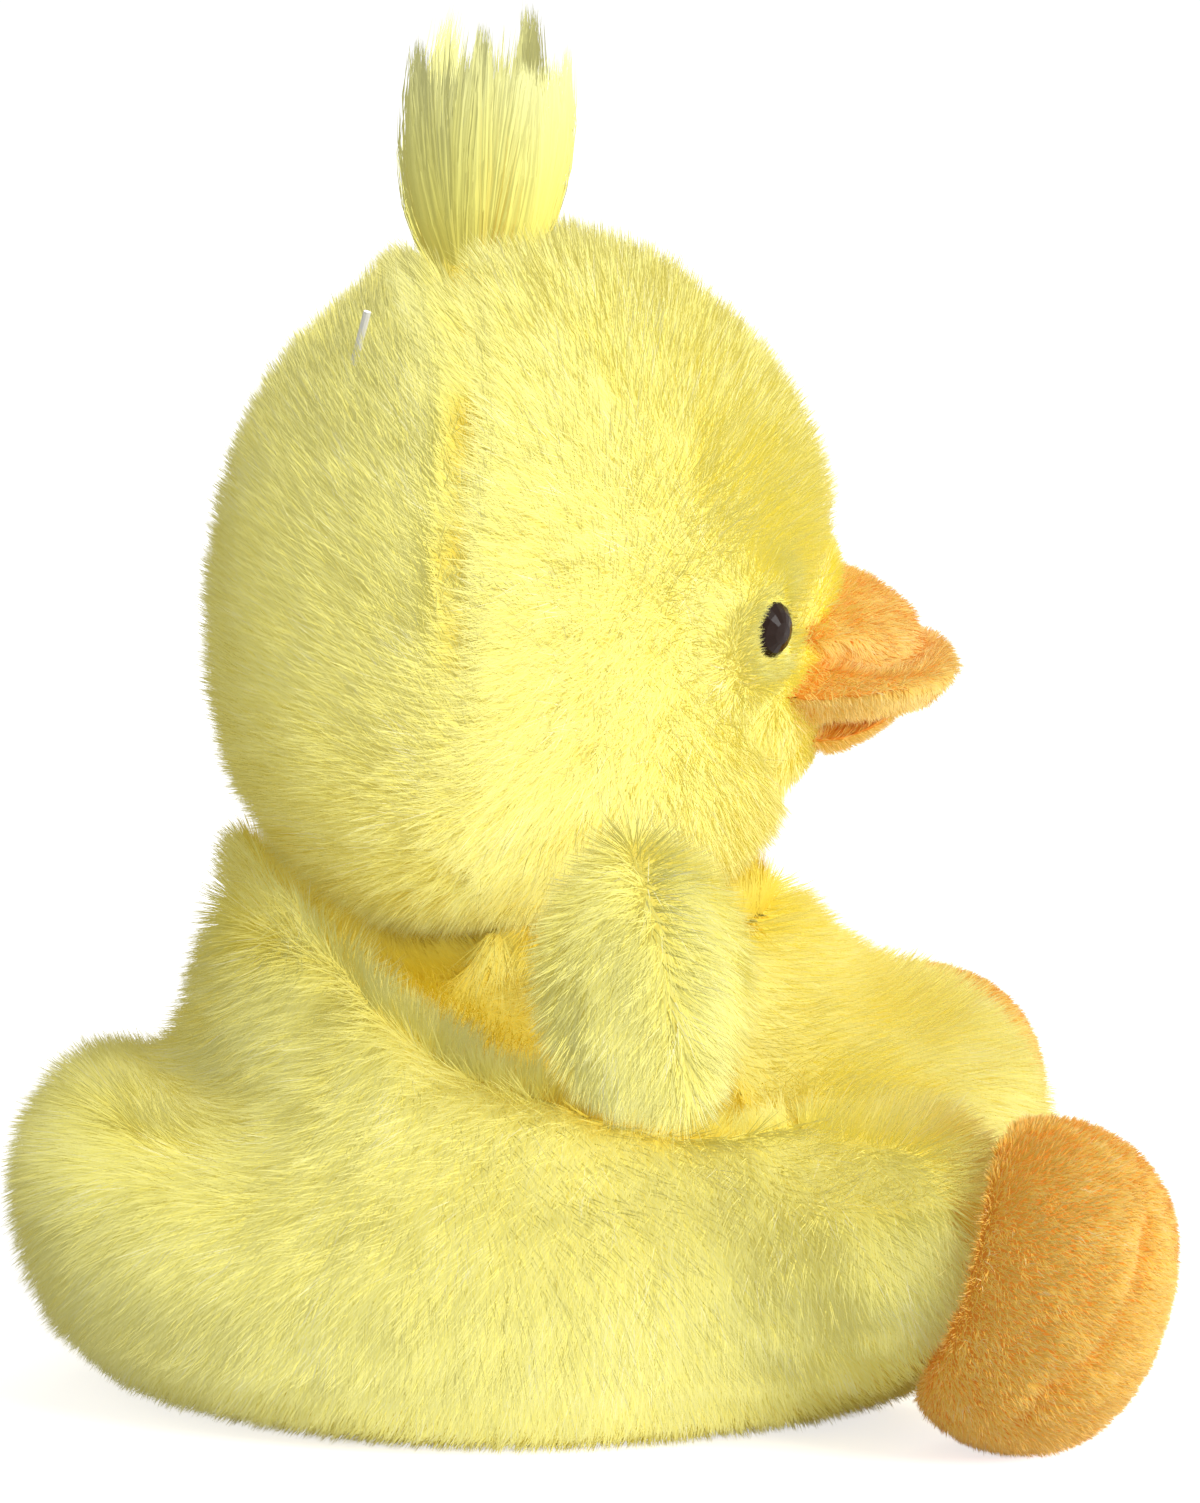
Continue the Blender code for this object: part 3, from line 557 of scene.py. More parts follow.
BODY_NODES = (
    "torso_panel",
    "torso_stuffing",
    "right_side_panel",
    "left_side_panel",
    "base_panel",
    "bean_pouch",
    "seat_stuffing",
)
HIP_CREASE = (
    (0, 29.5, 45.2), (-10.2, 28.3, 44.8), (-13, 24.2, 43.5), (-14, 20.4, 40.5), (-19.8, 16.1, 38),
    (-23.2, 9.6, 33.2), (-25.2, 2.9, 31.3), (-26.7, -2.2, 29.7), (-27.1, -7.3, 29), (-28.8, -12.3, 29.3),
    (-26.7, -17.8, 30.6), (-18.2, -23.4, 30.9), (-11.2, -28.9, 34.2), (-1.7, -28.6, 36.8),
)
CREASE_DEPTH = 0.0045
CREASE_WIDTH = 0.0065
LIP_SWELL = 0.0009
LIP_RISE = 0.0020
HOLLOW_DEPTH = 0.0022
HOLLOW_WIDTH = 0.0035
LAP_ROUNDS = 8
NAPE_SHIFT = (0, -0.0024, 0.0026)
TORSO_RADIUS = 0.0200
TORSO_TAPER = 0.8
TAIL_HOLLOW = ((-4, 35.8, 31.3), (-5.8, 35.1, 31.3), (-9, 33, 30.8), (-11.5, 33.8, 29.6))
NECK_PIVOT = Vector(JOINTS["head_nod"]["pos_m"])
_, torso_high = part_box("torso_panel")
collar = Vector((0, NECK_PIVOT.y, torso_high.z - 0.0105))
body_skin = melted("body_cloth", BODY_NODES, 0.0012, 6, [(collar, 0.0125)])
# The lap is filled out smooth, and then the hip crease and the hollow beside the tail are pressed in.
for _ in range(LAP_ROUNDS):
    place, normal = points_of(body_skin)
    lap = ramp(-place[:, 1], 0.009, 0.018) * ramp(place[:, 2], 0.017, 0.023)
    filling = np.sum((eased(body_skin, place, 120) - place) * normal, axis=1)
    set_points(body_skin, place + normal * (np.maximum(filling, 0) * lap)[:, None])
place, normal = points_of(body_skin)
crease, off_crease, crease_spot = from_line(place, HIP_CREASE)
lip_way = unit(crease_spot * (1, 1, 0) + (0, 0, -0.006))
outside = ramp(np.sum(off_crease * lip_way, axis=1), -0.0005, 0.0015)
inside = 1 - outside
hollow, _, _ = from_line(place, TAIL_HOLLOW)
fades = 1 - ramp(-place[:, 1], 0.011, 0.021)
behind = ramp(place[:, 1], 0.016, 0.026)
push = CREASE_DEPTH * inside * bump(crease, CREASE_WIDTH) - LIP_SWELL * outside * bump(crease - 0.004, 0.004)
push = push * fades * (1 - 0.6 * behind) + HOLLOW_DEPTH * bump(hollow, HOLLOW_WIDTH)
outer = place - normal * eased(body_skin, push, 2)[:, None]
outer[:, 2] += LIP_RISE * outside * bump(crease, 0.007) * fades

# The rim behind the neck stands up, and the torso inside the crease is drawn in to a round tube.
nape = ramp(outer[:, 2], 0.034, 0.043) * ramp(outer[:, 1], 0.016, 0.024)
outer += np.array(NAPE_SHIFT) * nape[:, None]
axis = np.array((0, NECK_PIVOT.y))
from_axis = np.linalg.norm(outer[:, :2] - axis, axis=1)
widest = TORSO_RADIUS - TORSO_TAPER * np.maximum(outer[:, 2] - 0.0315, 0)
flank = inside * ramp(outer[:, 1], -0.005, 0.003)
drawn_in = flank * (1 - ramp(outer[:, 1], 0.012, 0.020)) * np.clip(1 - widest / from_axis, 0, 1)
outer[:, :2] -= (outer[:, :2] - axis) * drawn_in[:, None]
above = (flank * ramp(outer[:, 2], 0.030, 0.034))[:, None]
outer += above * (eased(body_skin, outer, 30) - outer)
outer += ramp(outer[:, 2], 0.036, 0.040)[:, None] * (eased(body_skin, outer, 5) - outer)
set_points(body_skin, outer)
outer, normal = points_of(body_skin)

# The cloth lies below the outer face by the depth of the pile, which is short underneath and where
# another piece leaves no room. It is combed outwards and down, and up over the lip of the crease.
neighbours = [frame["nodes"][n] for n in frame["nodes"] if n not in BODY_NODES and "stuffing" not in n]
shut = closed_in(outer, normal, solids_of(body_skin, *neighbours))
room = room_over(outer - normal * PILE_DEPTH, normal, solids_of(*neighbours), 0.004)
down = ramp(-normal[:, 2], 0.3, 0.85)
set_points(body_skin, outer - normal * (PILE_DEPTH * (1 - 0.8 * down))[:, None])
place, normal = points_of(body_skin)
waist = np.array((0, MIDDLE_Y, 0.030))
outwards = place - waist
outwards[:, 2] *= 0.3
way = unit(outwards) + np.array((0, 0, -0.9))
way += np.array((0, 0, 2.2)) * (bump(crease, 0.0045) * outside * fades)[:, None]
way += np.array((0, -0.9, 0.7)) * nape[:, None]
tall = (1 - 0.65 * down) * (0.6 + 0.4 * np.maximum(ramp(room, 0.2, 1.0), nape))
tall *= 1 - 0.5 * inside * bump(crease, 0.005) * fades
# Painted shade: the deeper crease colour goes where other pieces shut the pile in, on the torso inside the
# crease from 3 cm up, and along the crease itself.
shade = 0.8 * ramp(shut, 0.16, 0.7) + 0.3 * inside * ramp(outer[:, 2], 0.026, 0.032)
shade += 0.6 * bump(crease, 0.0050) * inside * (0.5 + 0.5 * fades)
shade = eased(body_skin, np.clip(shade, 0, 1), 2)
comb(body_skin, along(way, normal), tall, shade)
thick = (1 - 0.6 * down) * np.maximum(ramp(room, 0.05, 0.25), nape)

# The pile is grown in six patches, so that each is a mesh of a fair size.
right = 1 - ramp(place[:, 0], -0.001, 0.001)
past_wing = ramp(place[:, 1], MIDDLE_Y - 0.001, MIDDLE_Y + 0.001)
rear = ramp(place[:, 1], 0.021, 0.023)
patches = {}
for side, share in (("right", right), ("left", 1 - right)):
    patches[f"body_pile_{side}_front"] = share * (1 - past_wing)
    patches[f"body_pile_{side}_hip"] = share * past_wing * (1 - rear)
    patches[f"body_pile_{side}_rear"] = share * rear
for seed, (name, share) in enumerate(patches.items()):
    grow(body_skin, name, "root", "yellow_plush", YELLOW_FIBRE, thick * share, seed=seed, **YELLOW_PILE)
clothe(body_skin, YELLOW_CLOTH, "root", "yellow_plush", 0.6, *BODY_NODES)

# Head. Two panels of the same plush meet in a seam that runs over the crown and down each cheek,
# stuffed firm. The pile lies away from the bill in front and stands up at the back.
HEAD_NODES = ("face_panel", "head_back_panel", "head_stuffing")
HEAD_SEAM = (
    (0, 8.4, 101.6), (-4.9, 8.7, 100.8), (-15.9, 9.5, 94.8), (-23.5, 11.2, 88.1), (-25.8, 11.9, 80.7),
    (-27.3, 12.5, 77.5), (-27.6, 12.4, 71), (-27.2, 12.1, 65.5), (-24.5, 11.6, 55), (-20.6, 11, 47.7),
)
SEAM_ROUNDS = 5
GROOVE_DEPTH = 0.0007
GROOVE_WIDTH = 0.0011
crest_root = Vector(JOINTS["crest_sway"]["pos_m"])
crest_socket = (crest_root + Vector((0, 0, -0.0050)), 0.0055)
eye_nodes = ("right_eye", "left_eye", "right_eye_washer", "left_eye_washer")
head_skin = melted("head_cloth", HEAD_NODES + eye_nodes, 0.0008, 50, [(NECK_PIVOT, 0.0104), crest_socket])
place, normal = points_of(head_skin)
seam, off_seam, _ = from_line(place, HEAD_SEAM)
# The trench that the two panels leave is filled, and a fine groove is pressed in along the seam.
for _ in range(SEAM_ROUNDS):
    filling = np.sum((eased(head_skin, place, 60) - place) * normal, axis=1)
    place += normal * (np.maximum(filling, 0) * bump(seam, 0.006))[:, None]
outer = place - normal * (GROOVE_DEPTH * bump(seam, GROOVE_WIDTH))[:, None]
set_points(head_skin, outer)
outer, normal = points_of(head_skin)
low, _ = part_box("face_panel")
neighbours = [frame["nodes"][n] for n in frame["nodes"] if n not in HEAD_NODES and "stuffing" not in n]
shut = closed_in(outer, normal, solids_of(head_skin, *neighbours))
chin = 1 - ramp(outer[:, 2], low.z + 0.002, low.z + 0.009)
guests = [frame["nodes"][n] for n in ("upper_bill", "lower_bill", "crest_tuft", "right_eye", "left_eye")]
room = room_over(outer - normal * PILE_DEPTH, normal, solids_of(*guests), 0.005)
bill = solids_of(frame["nodes"]["upper_bill"], frame["nodes"]["lower_bill"])
to_bill = np.array([bill.find_nearest(spot)[3] for spot in outer.tolist()])

# Behind each eye the cloth comes forward and the pile covers the rim of the dome. Beside the bill the
# cloth comes up to the bill, and the pile is short.
eye_gap = np.full(len(outer), 1.0)
eye_rear = np.zeros(len(outer))
for side in ("right", "left"):
    near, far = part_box(side + "_eye")
    middle = (near + far) / 2
    washer_near, washer_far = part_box(side + "_eye_washer")
    forward = (middle - (washer_near + washer_far) / 2).normalized()
    from_eye = outer - np.array(middle)
    across_eye = from_eye - np.outer(from_eye @ np.array(forward), np.array(forward))
    close = np.linalg.norm(from_eye, axis=1) < 0.012
    eye_gap[close] = np.linalg.norm(across_eye[close], axis=1)
    eye_rear[close] = across_eye[close, 1]
behind_eye = (1 - ramp(eye_gap, 0.004, 0.008)) * ramp(eye_rear, -0.0031, -0.0018)
beside_bill = 1 - ramp(to_bill, 0.001, 0.005)
close_in = 1 - 0.85 * np.maximum(behind_eye, beside_bill)
set_points(head_skin, outer - normal * (PILE_DEPTH * (1 - 0.6 * chin) * close_in)[:, None])
place, normal = points_of(head_skin)

# The pile is combed away from the bill on the face, up at the back, down under the chin, apart along
# the seam and forward round the eyes.
bill_low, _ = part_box("upper_bill")
from_bill = place - np.array((0, bill_low.y, bill_low.z + 0.004))
back = ramp(place[:, 1], NECK_PIVOT.y + 0.004, NECK_PIVOT.y + 0.012)[:, None]
way = unit(from_bill) * (1 - back) + np.array((0, 0.3, 1.0)) * back * (1 - chin[:, None])
way = unit(way) + (np.array((0, 0, -0.6)) + 0.9 * unit(place * (1, 1, 0))) * chin[:, None]
upright = 1 - 0.3 * (1 - back) * (1 - chin[:, None])
way += np.array((0, 1.3, 0)) * (np.sign(off_seam[:, 1]) * bump(seam, 0.0016))[:, None]
beside_eye = bump(eye_gap, 0.0055)[:, None]
way = way * (1 - beside_eye) + np.array((0, -1.0, 0.1)) * beside_eye
tall = 0.85 * (0.35 + 0.65 * ramp(room, 0.2, 1.0)) * (1 - 0.6 * bump(seam, 0.0010))
tall *= 1 - 0.35 * chin * (1 - back[:, 0])
tall *= 1 + 0.3 * ramp(place[:, 2], 0.092, 0.098)
tall *= 1 - 0.72 * np.maximum(behind_eye, beside_bill)
# Painted shade: the deeper crease colour goes where the pile is shut in, except beside the bill. The seam
# line takes it too, most near the crown.
shade = 0.55 * ramp(shut, 0.18, 0.8) * (1 - beside_bill)
shade += (0.8 + 0.4 * ramp(place[:, 2], 0.085, 0.098)) * bump(seam, 0.0013)
comb(head_skin, along(way, normal) * upright, tall, np.clip(shade, 0, 1))
bare = np.where(eye_rear > -0.0023, 1.0, ramp(eye_gap, 0.0040, 0.0048))
thick = np.maximum(ramp(room, 0.05, 0.3), behind_eye) * bare * (1 + 0.8 * behind_eye)
right = 1 - ramp(place[:, 0], -0.001, 0.001)
behind = ramp(place[:, 1], NECK_PIVOT.y - 0.001, NECK_PIVOT.y + 0.001)
patches = {
    "head_pile_right_front": right * (1 - behind),
    "head_pile_right_back": right * behind,
    "head_pile_left_front": (1 - right) * (1 - behind),
    "head_pile_left_back": (1 - right) * behind,
}
for seed, (name, share) in enumerate(patches.items(), 10):
    grow(head_skin, name, "head", "yellow_plush", YELLOW_FIBRE, thick * share, seed=seed, **YELLOW_PILE)
clothe(head_skin, YELLOW_CLOTH, "head", "yellow_plush", 0.8, *HEAD_NODES)

# Neck. A ball of fibre in a cloth tube, hidden between head and torso, on which the head turns.
neck_skin = melted("neck_cloth", ("neck_stuffing",), 0.0008, 6)
clothe(neck_skin, YELLOW_CLOTH, "neck", "yellow_plush", 0.8, "neck_stuffing")

# Wings. Each is a leaf of two plush panels sewn edge to edge and lightly stuffed. The seam shows as
# a ridge down the middle of its outer face, with the pile parted over it.
WING_RIDGE = (
    (-30, -2.5, 54), (-32.4, -2.7, 52.8), (-35.1, -3.7, 49.2), (-36.3, -4.8, 44.3), (-36.1, -5.9, 38.8),
    (-34.2, -7.2, 33.4), (-31, -8, 30),
)
RIDGE_HEIGHT = 0.0015
RIDGE_WIDTH = 0.0028
WING_PILE_DEPTH = 0.0018
WING_PILE = {**YELLOW_PILE, "length": 0.0042, "lock_pull": 0.5}
for side, sign in (("right", -1), ("left", 1)):
    nodes = tuple(f"{side}_wing_{part}" for part in ("front_panel", "back_panel", "stuffing"))
    skin = melted(side + "_wing_cloth", nodes, 0.0007, 5)
    place, normal = points_of(skin)
    ridge, off_ridge, _ = from_line(place, WING_RIDGE)
    outer = place + normal * (RIDGE_HEIGHT * bump(ridge, RIDGE_WIDTH))[:, None]
    set_points(skin, outer - normal * WING_PILE_DEPTH)
    _, normal = points_of(skin)
    shut = closed_in(outer, normal, solids_of(body_skin, head_skin))
    place, _ = points_of(skin)
    parted = np.sign(off_ridge[:, 1])[:, None] * np.array((0, 1.0, 0)) * (0.5 * bump(ridge, 0.006))[:, None]
    way = along(np.array((0.25 * sign, 0, -1.0)) + parted, normal) * (1 - 0.5 * bump(ridge, 0.0025))[:, None]
    # Painted shade: the deeper crease colour goes where the body and the head shut the wing in.
    comb(skin, way, np.ones(len(place)), 0.7 * ramp(shut, 0.2, 0.8))
    wing = side + "_wing"
    grow(skin, wing + "_pile", wing, "yellow_plush", YELLOW_FIBRE, seed=20 + sign, **WING_PILE)
    clothe(skin, YELLOW_CLOTH, wing, "yellow_plush", 0.5, *nodes)

# Feet. Short orange plush: an upper sewn to a flat sole all round, the upper with a seam along its
# instep, both stuffed firm. The pile is only a millimetre long, so the seams show as fine grooves.
# The deeper root of these stops is painted shade for the depth of the pile.
ORANGE_FIBRE = fibre_finish(
    "orange fibre",
    light=((0.94, 0.49, 0.06), (0.97, 0.58, 0.10), (0.99, 0.66, 0.16), (1.0, 0.79, 0.35)),
    crease_shade=((0.88, 0.35, 0.03), (0.94, 0.44, 0.05), (0.97, 0.51, 0.08)),
    glint_colour=(1.0, 0.85, 0.50),
    roughness=0.6,
)
ORANGE_CLOTH = cloth_finish("orange cloth", (0.88, 0.33, 0.04), (0.80, 0.24, 0.02))
ORANGE_PILE = {
    "density": 30e6,
    "width": FIBRE_WIDTH,
    "rise": 1.0,
    "lean": 0.35,
    "stray": 0.5,
    "wave": 0.0002,
    "lock_size": 0.0028,
    "lock_pull": 0.9,
}
FOOT_PILE_LENGTH = 0.0012
FOOT_PADDING = 0.0004
FOOT_SEAM = (
    (-42.3, -45.6, 22), (-43.1, -44.4, 18.8), (-44.4, -40.5, 11.3), (-44.5, -36.6, 8.6), (-42.5, -34, 5),
)
FOOT_SEAM_DEPTH = 0.0007
FOOT_SEAM_WIDTH = 0.0009
for side, sign in (("right", -1), ("left", 1)):
    nodes = tuple(f"{side}_foot_{part}" for part in ("upper", "sole", "stuffing"))
    skin = melted(side + "_foot_cloth", nodes, 0.0007, 30)
    place, normal = points_of(skin)
    place += normal * FOOT_PADDING
    seam, _, _ = from_line(place, FOOT_SEAM)
    outer = place - normal * (FOOT_SEAM_DEPTH * bump(seam, FOOT_SEAM_WIDTH))[:, None]
    set_points(skin, outer)
    outer, normal = points_of(skin)
    shut = closed_in(outer, normal, solids_of(body_skin, skin))
    place, normal = points_of(skin)
    way = along(np.broadcast_to(np.array((0.1 * sign, -1.0, -0.3)), place.shape), normal)
    # Painted shade: the deeper crease colour goes where the body shuts the foot in. The seam line takes it
    # too.
    shade = np.clip(ramp(shut, 0.15, 0.6) + 0.7 * bump(seam, 0.0006), 0, 1)
    comb(skin, way, 1 - 0.4 * bump(seam, 0.0008), shade)
    foot = side + "_foot"
    sizes = {**ORANGE_PILE, "length": FOOT_PILE_LENGTH}
    grow(skin, foot + "_pile", foot, "orange_plush", ORANGE_FIBRE, seed=30 + sign, **sizes)
    clothe(skin, ORANGE_CLOTH, foot, "orange_plush", 0.8, *nodes)

# Bill. A padded dome of the same orange plush with a rolled lip round its edge, and a flat stuffed
# flap below it. Both are sewn to the face, and the dome is stitched down where it meets the lip.
BILL_CREASE = (
    (-12.4, -20.4, 66.6), (-12.7, -21.6, 66.4), (-12.9, -23, 66.2), (-13.1, -24.5, 65.9), (-13, -26, 65.6),
    (-12, -27.7, 65.5), (-10.9, -29.2, 65.5), (-8.3, -30.8, 65.8), (-5, -32, 66.1), (0, -32.6, 66.4),
)
BILL_CREASE_DEPTH = 0.0007
BILL_LIP_SWELL = 0.0006
BILL_WIDENING = 0.42
BILL_SEAM_DEPTH = 0.0016
UPPER_BILL_PILE = {**ORANGE_PILE, "length": 0.0016}
LOWER_BILL_PILE = {**ORANGE_PILE, "length": 0.0015}
BILL_REACH = 0.012
# The deeper root of these stops is painted shade for the depth of the pile.
BILL_FIBRE = fibre_finish(
    "bill fibre",
    light=((0.95, 0.55, 0.10), (0.97, 0.62, 0.14), (0.98, 0.68, 0.19), (1.0, 0.80, 0.36)),
    crease_shade=((0.90, 0.44, 0.05), (0.94, 0.52, 0.08), (0.96, 0.60, 0.12)),
    glint_colour=(1.0, 0.88, 0.55),
    roughness=0.6,
)
skin = melted("upper_bill_cloth", ("upper_bill",), 0.0005, 5)
place, normal = points_of(skin)
crease, off_crease, _ = from_line(place, BILL_CREASE)
lip = ramp(-off_crease[:, 2], 0.0, 0.0008)
push = BILL_CREASE_DEPTH * bump(crease, 0.0010) - BILL_LIP_SWELL * lip * bump(crease - 0.0022, 0.0018)
outer = place - normal * eased(skin, push, 2)[:, None]

# The dome is widened to the face, and its sewn edge goes a little way into the face.
dome = ramp(outer[:, 2], 0.0655, 0.0685)
outer[:, 0] *= 1 + BILL_WIDENING * dome * ramp(outer[:, 1], -0.030, -0.0215)
outer[:, 1] += 0.0020 * dome * ramp(outer[:, 1], -0.0265, -0.0225)
set_points(skin, outer)
outer, normal = points_of(skin)
shut = closed_in(outer, normal, solids_of(head_skin, skin, frame["nodes"]["lower_bill"]), BILL_REACH)
sewn_in = ramp(normal[:, 1], 0.3, 0.7)
place = outer - normal * (0.0007 * (1 - sewn_in))[:, None]
place += np.array((0, BILL_SEAM_DEPTH, 0)) * sewn_in[:, None]
set_points(skin, place)
place, normal = points_of(skin)
way = along(np.broadcast_to(np.array((0.0, -0.4, -1.0)), place.shape), normal)
# Painted shade: the deeper crease colour goes where the face and the flap shut the dome in, and along its
# crease.
shade = 0.7 * ramp(shut, 0.3, 0.8) + 0.4 * bump(crease, 0.0008)
comb(skin, way, np.ones(len(place)), np.clip(shade, 0, 1))
thick = 1 - 0.8 * sewn_in
grow(skin, "upper_bill_pile", "head", "orange_plush", BILL_FIBRE, thick, seed=40, **UPPER_BILL_PILE)
clothe(skin, ORANGE_CLOTH, "head", "orange_plush", 0.7, "upper_bill")

# The flap bends up towards its front, and its back goes into the face.
skin = melted("lower_bill_cloth", ("lower_bill",), 0.0005, 4)
outer, normal = points_of(skin)
flap_low, flap_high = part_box("lower_bill")
front = ramp(-outer[:, 1], -flap_high.y + 0.001, -flap_low.y)
top = ramp(outer[:, 2], flap_low.z + 0.001, flap_high.z - 0.001)
outer[:, 2] += 0.0020 * front + 0.0007 * top * (1 - front)
outer[:, 1] += 0.0012 * ramp(outer[:, 1], flap_high.y - 0.003, flap_high.y)
set_points(skin, outer)
outer, normal = points_of(skin)
shut = closed_in(outer, normal, solids_of(head_skin, skin, frame["nodes"]["upper_bill"]), BILL_REACH)
set_points(skin, outer - normal * 0.0003)
way = along(np.broadcast_to(np.array((0.0, -1.0, -0.3)), outer.shape), normal)
# Painted shade: the deeper crease colour goes where the face and the dome shut the flap in.
comb(skin, way, np.ones(len(outer)), np.clip(0.8 * ramp(shut, 0.15, 0.6), 0, 1))
grow(skin, "lower_bill_pile", "lower_bill", "orange_plush", BILL_FIBRE, seed=41, **LOWER_BILL_PILE)
clothe(skin, ORANGE_CLOTH, "lower_bill", "orange_plush", 0.6, "lower_bill")

# Crest. A bundle of long pale fibre sewn into the crown seam. It parts into pointed tufts that fan
# out along the middle of the head.
CREST_LENGTH = 0.0200
CREST_PILE = {
    "density": 60e6,
    "length": CREST_LENGTH,
    "width": FIBRE_WIDTH,
    "rise": 0.14,
    "lean": -0.30,
    "stray": 0.018,
    "lock_size": 0.0022,
    "lock_pull": 0.06,
    "wave": 0.0011,
    "lift": 8.0,
}
CREST_BASE_SIZE = (0.0034, 0.0048, 0.0034)
CREST_BASE_SHIFT = (0, 0.0004, -0.0022)
CREST_TUFTS = (
    ((-1.0, 10.9, 100.4), (-1.6, 12.6, 120.4)),
    ((0.9, 9.4, 100.8), (0.8, 9.4, 123.2)),
    ((-0.9, 7.7, 101.2), (-1.2, 6.6, 121.2)),
    ((0.9, 4.0, 101.9), (0.6, 2.2, 122.8)),
    ((-0.9, 2.6, 102.0), (-1.2, -1.0, 119.4)),
    ((0.8, 1.8, 102.1), (1.0, -1.9, 114.4)),
    ((0.0, 11.8, 100.0), (0.6, 14.2, 111.4)),
    ((2.4, 8.4, 101.0), (3.2, 9.0, 118.0)),
    ((-2.4, 4.6, 101.0), (-3.2, 2.6, 118.0)),
    ((0.2, 10.2, 100.6), (-0.2, 11.0, 117.0)),
    ((0.2, 8.5, 101.0), (0.0, 8.0, 118.2)),
    ((0.1, 6.2, 101.5), (0.2, 4.6, 116.4)),
    ((0.1, 5.2, 101.7), (-0.4, 3.4, 117.0)),
    ((0.0, 3.3, 101.9), (0.0, 0.6, 117.2)),
)
# The deeper root of these stops is painted shade for the depth of the pile.
CREST_FIBRE = fibre_finish(
    "crest fibre",
    light=((0.97, 0.88, 0.19), (0.98, 0.93, 0.25), (0.99, 0.96, 0.32), (1.0, 0.99, 0.44)),
    crease_shade=((0.88, 0.52, 0.05), (0.95, 0.72, 0.10), (0.98, 0.86, 0.22)),
    glint_colour=(1.0, 1.0, 0.80),
    roughness=0.5,
)
crest = bmesh.new()
bmesh.ops.create_icosphere(crest, subdivisions=4, radius=1.0)
mesh = bpy.data.meshes.new("crest_base")
crest.to_mesh(mesh)
crest.free()
crest_base = bpy.data.objects.new("crest_base", mesh)
bpy.context.collection.objects.link(crest_base)
place, normal = points_of(crest_base)
set_points(crest_base, place * CREST_BASE_SIZE + np.array(crest_root) + np.array(CREST_BASE_SHIFT))
place, normal = points_of(crest_base)
upper_half = ramp(normal[:, 2], -0.05, 0.25)

# Each fibre belongs to the tuft whose root is nearest and points at that tuft's tip.
roots = np.array([root for root, _ in CREST_TUFTS]) * 0.001
tips = np.array([tip for _, tip in CREST_TUFTS]) * 0.001
which = np.argmin(np.linalg.norm((place[:, None] - roots[None]) * (1, 1, 0), axis=2), axis=1)
reach = tips[which] - place
length = np.linalg.norm(reach, axis=1)
# Painted shade: the fibres rooted low on the base take half of the deeper crease colour.
shade = 0.5 * (1 - ramp(place[:, 2], crest_root.z - 0.002, crest_root.z + 0.002))
comb(crest_base, unit(reach), length / CREST_LENGTH, shade)
crest_pile = grow(
    crest_base, "crest_pile", "crest", "yellow_plush", CREST_FIBRE, upper_half, LONG_BLADE,
    seed=50, **CREST_PILE,
)
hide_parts("crest_tuft")
bpy.data.objects.remove(crest_base)

# Eyes, lock washers and pin. The eyes are moulded gloss plastic, very dark brown, held by pressed
# washers inside the head. The pin is the clear nylon end that once held a paper tag.


def plastic_finish(name, colour, dark, roughness, scale, gloss=0.5):
    """Moulded plastic, with a faint mottle in its colour and gloss."""
    finish = bpy.data.materials.new(name)
    finish.use_nodes = True
    t = Tree(finish.node_tree)
    shader = finish.node_tree.nodes["Principled BSDF"]
    shader.inputs["Specular IOR Level"].default_value = gloss
    place = t.add("ShaderNodeTexCoord", out="Object")
    mottle = t.add("ShaderNodeTexNoise", {"Vector": place, "Scale": scale, "Detail": 4.0})
    mixed = t.add("ShaderNodeMix", {0: mottle, 6: (*dark, 1), 7: (*colour, 1)}, 2, data_type="RGBA")
    finish.node_tree.links.new(mixed, shader.inputs["Base Color"])
    rough = {"Value": mottle, "To Min": roughness * 0.8, "To Max": roughness * 1.3}
    rough = t.add("ShaderNodeMapRange", rough)
    finish.node_tree.links.new(rough, shader.inputs["Roughness"])
    return finish, shader


EYE_PLASTIC, _ = plastic_finish(
    "eye plastic", (0.030, 0.012, 0.006), (0.012, 0.005, 0.003), 0.18, 400.0, gloss=0.14
)
WASHER_PLASTIC, _ = plastic_finish("washer plastic", (0.70, 0.70, 0.68), (0.60, 0.60, 0.58), 0.45, 900.0)
PIN_NYLON, shader = plastic_finish("pin nylon", (1.0, 1.0, 0.98), (0.97, 0.97, 0.94), 0.2, 1500.0)
shader.inputs["Transmission Weight"].default_value = 0.3
shader.inputs["IOR"].default_value = 1.53
for node, finish in (
    ("right_eye", EYE_PLASTIC),
    ("left_eye", EYE_PLASTIC),
    ("right_eye_washer", WASHER_PLASTIC),
    ("left_eye_washer", WASHER_PLASTIC),
    ("tag_pin", PIN_NYLON),
):
    for slot in frame["nodes"][node].material_slots:
        slot.material = finish

for blade in (SHORT_BLADE, LONG_BLADE):
    bpy.data.objects.remove(blade)

# Studio. A pale floor and world that look white to the camera, one large soft lamp in front and above,
# and a weaker one beyond the duck.
FLOOR_GLOW = 0.72
ROOM_LIGHT = 0.35


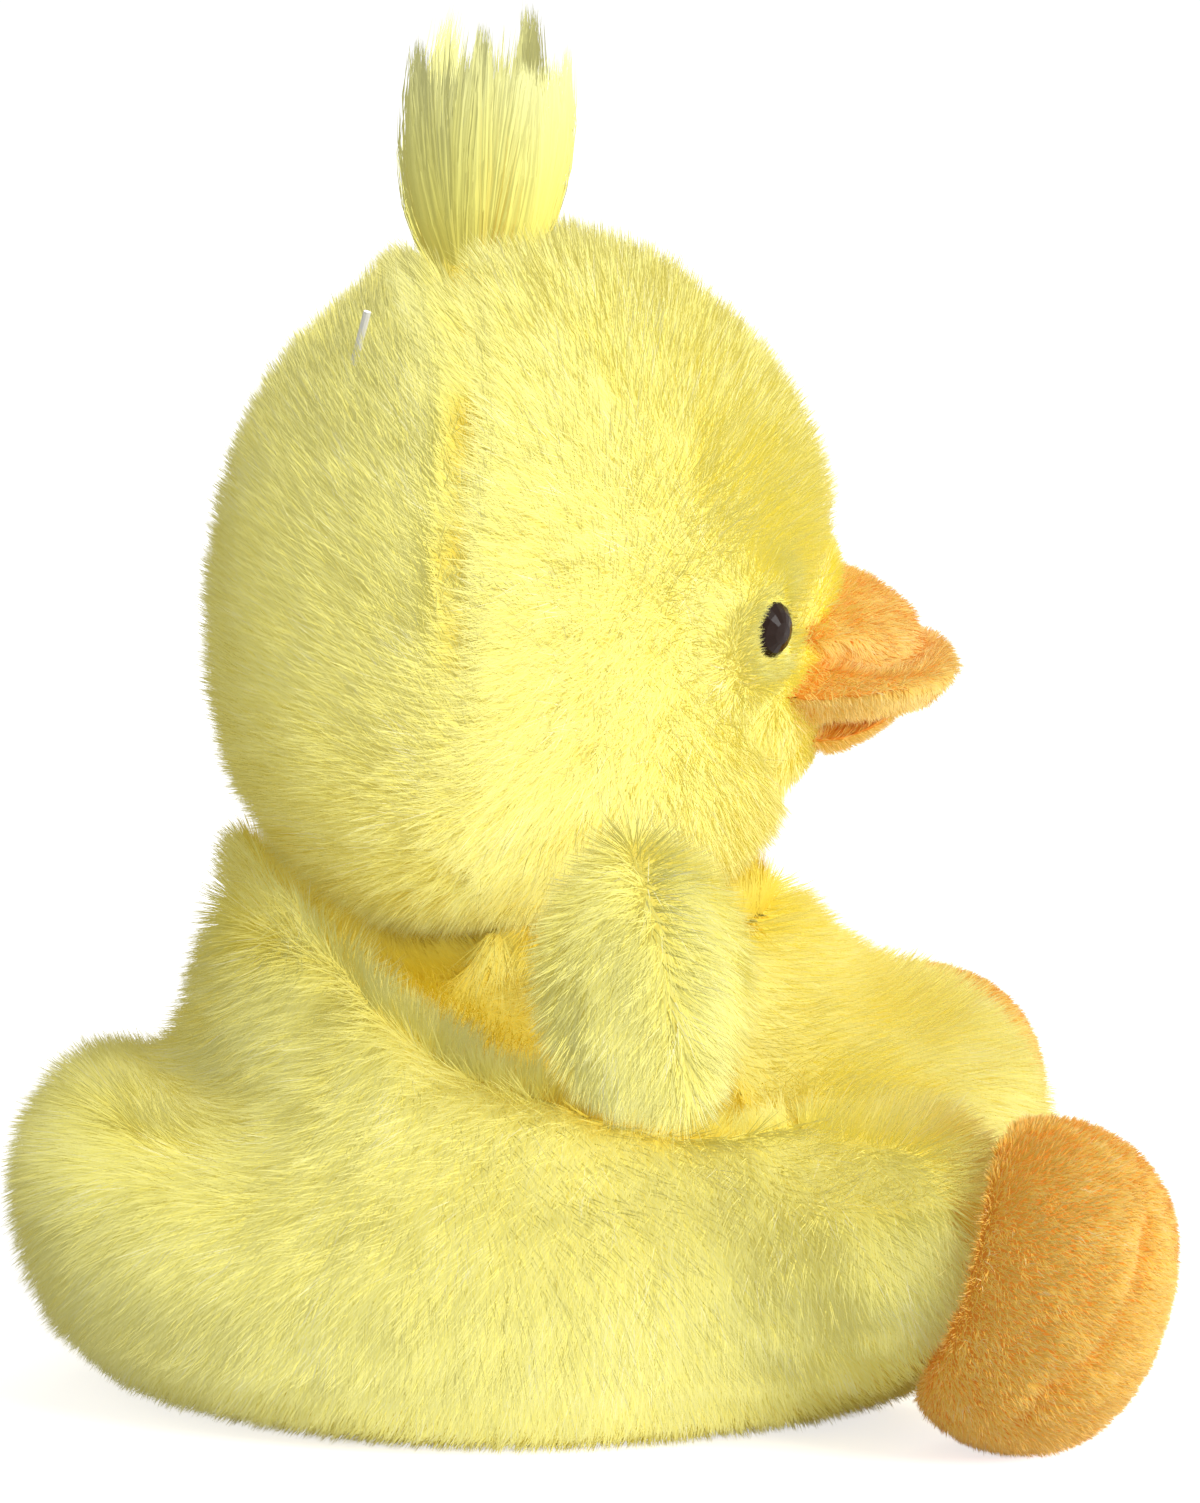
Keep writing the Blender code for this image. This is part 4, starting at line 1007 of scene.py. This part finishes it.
def seen_directly(t):
    """1 for the camera and in mirrored or refracted light, 0 for the light that falls on the duck."""
    path = t.add("ShaderNodeLightPath", (), None).outputs
    mirrored = t.number("MAXIMUM", path["Is Glossy Ray"], path["Is Transmission Ray"])
    return t.number("MAXIMUM", path["Is Camera Ray"], mirrored)


floor_mesh = bpy.data.meshes.new("floor")
span = 4.0
corners = [(-span, -span, 0), (span, -span, 0), (span, span, 0), (-span, span, 0)]
floor_mesh.from_pydata(corners, [], [(0, 1, 2, 3)])
floor = bpy.data.objects.new("floor", floor_mesh)
bpy.context.collection.objects.link(floor)
floor_finish = bpy.data.materials.new("floor")
floor_finish.use_nodes = True
t = Tree(floor_finish.node_tree)
shader = floor_finish.node_tree.nodes["Principled BSDF"]
shader.inputs["Base Color"].default_value = (0.82, 0.82, 0.82, 1)
shader.inputs["Roughness"].default_value = 0.9
shader.inputs["Specular IOR Level"].default_value = 0.0
glow = t.number("MULTIPLY", seen_directly(t), FLOOR_GLOW)
glow = t.add("ShaderNodeEmission", {"Color": (1, 1, 1, 1), "Strength": glow})
added = t.add("ShaderNodeAddShader", [shader.outputs[0], glow])
floor_finish.node_tree.links.new(added, floor_finish.node_tree.nodes["Material Output"].inputs[0])
floor_mesh.materials.append(floor_finish)

world = bpy.data.worlds.new("studio")
bpy.context.scene.world = world
world.use_nodes = True
t = Tree(world.node_tree)
background = world.node_tree.nodes["Background"]
strength = t.add("ShaderNodeMapRange", {"Value": seen_directly(t), "To Min": ROOM_LIGHT, "To Max": 1.0})
world.node_tree.links.new(strength, background.inputs["Strength"])
background.inputs["Color"].default_value = (1, 1, 1, 1)


def softbox(name, place, size, power):
    """A round soft lamp that faces the duck."""
    light = bpy.data.lights.new(name, "AREA")
    light.shape = "DISK"
    light.size = size
    light.energy = power
    lamp = bpy.data.objects.new(name, light)
    bpy.context.collection.objects.link(lamp)
    lamp.matrix_world = Matrix.Translation(place) @ (
        (Vector(place) - VIEW_CENTRE).to_track_quat("Z", "Y").to_matrix().to_4x4()
    )


softbox("key", (-0.63, -0.90, 0.66), 0.7, 13.0)
softbox("fill", (0.8, -0.4, 0.6), 0.6, 2.5)
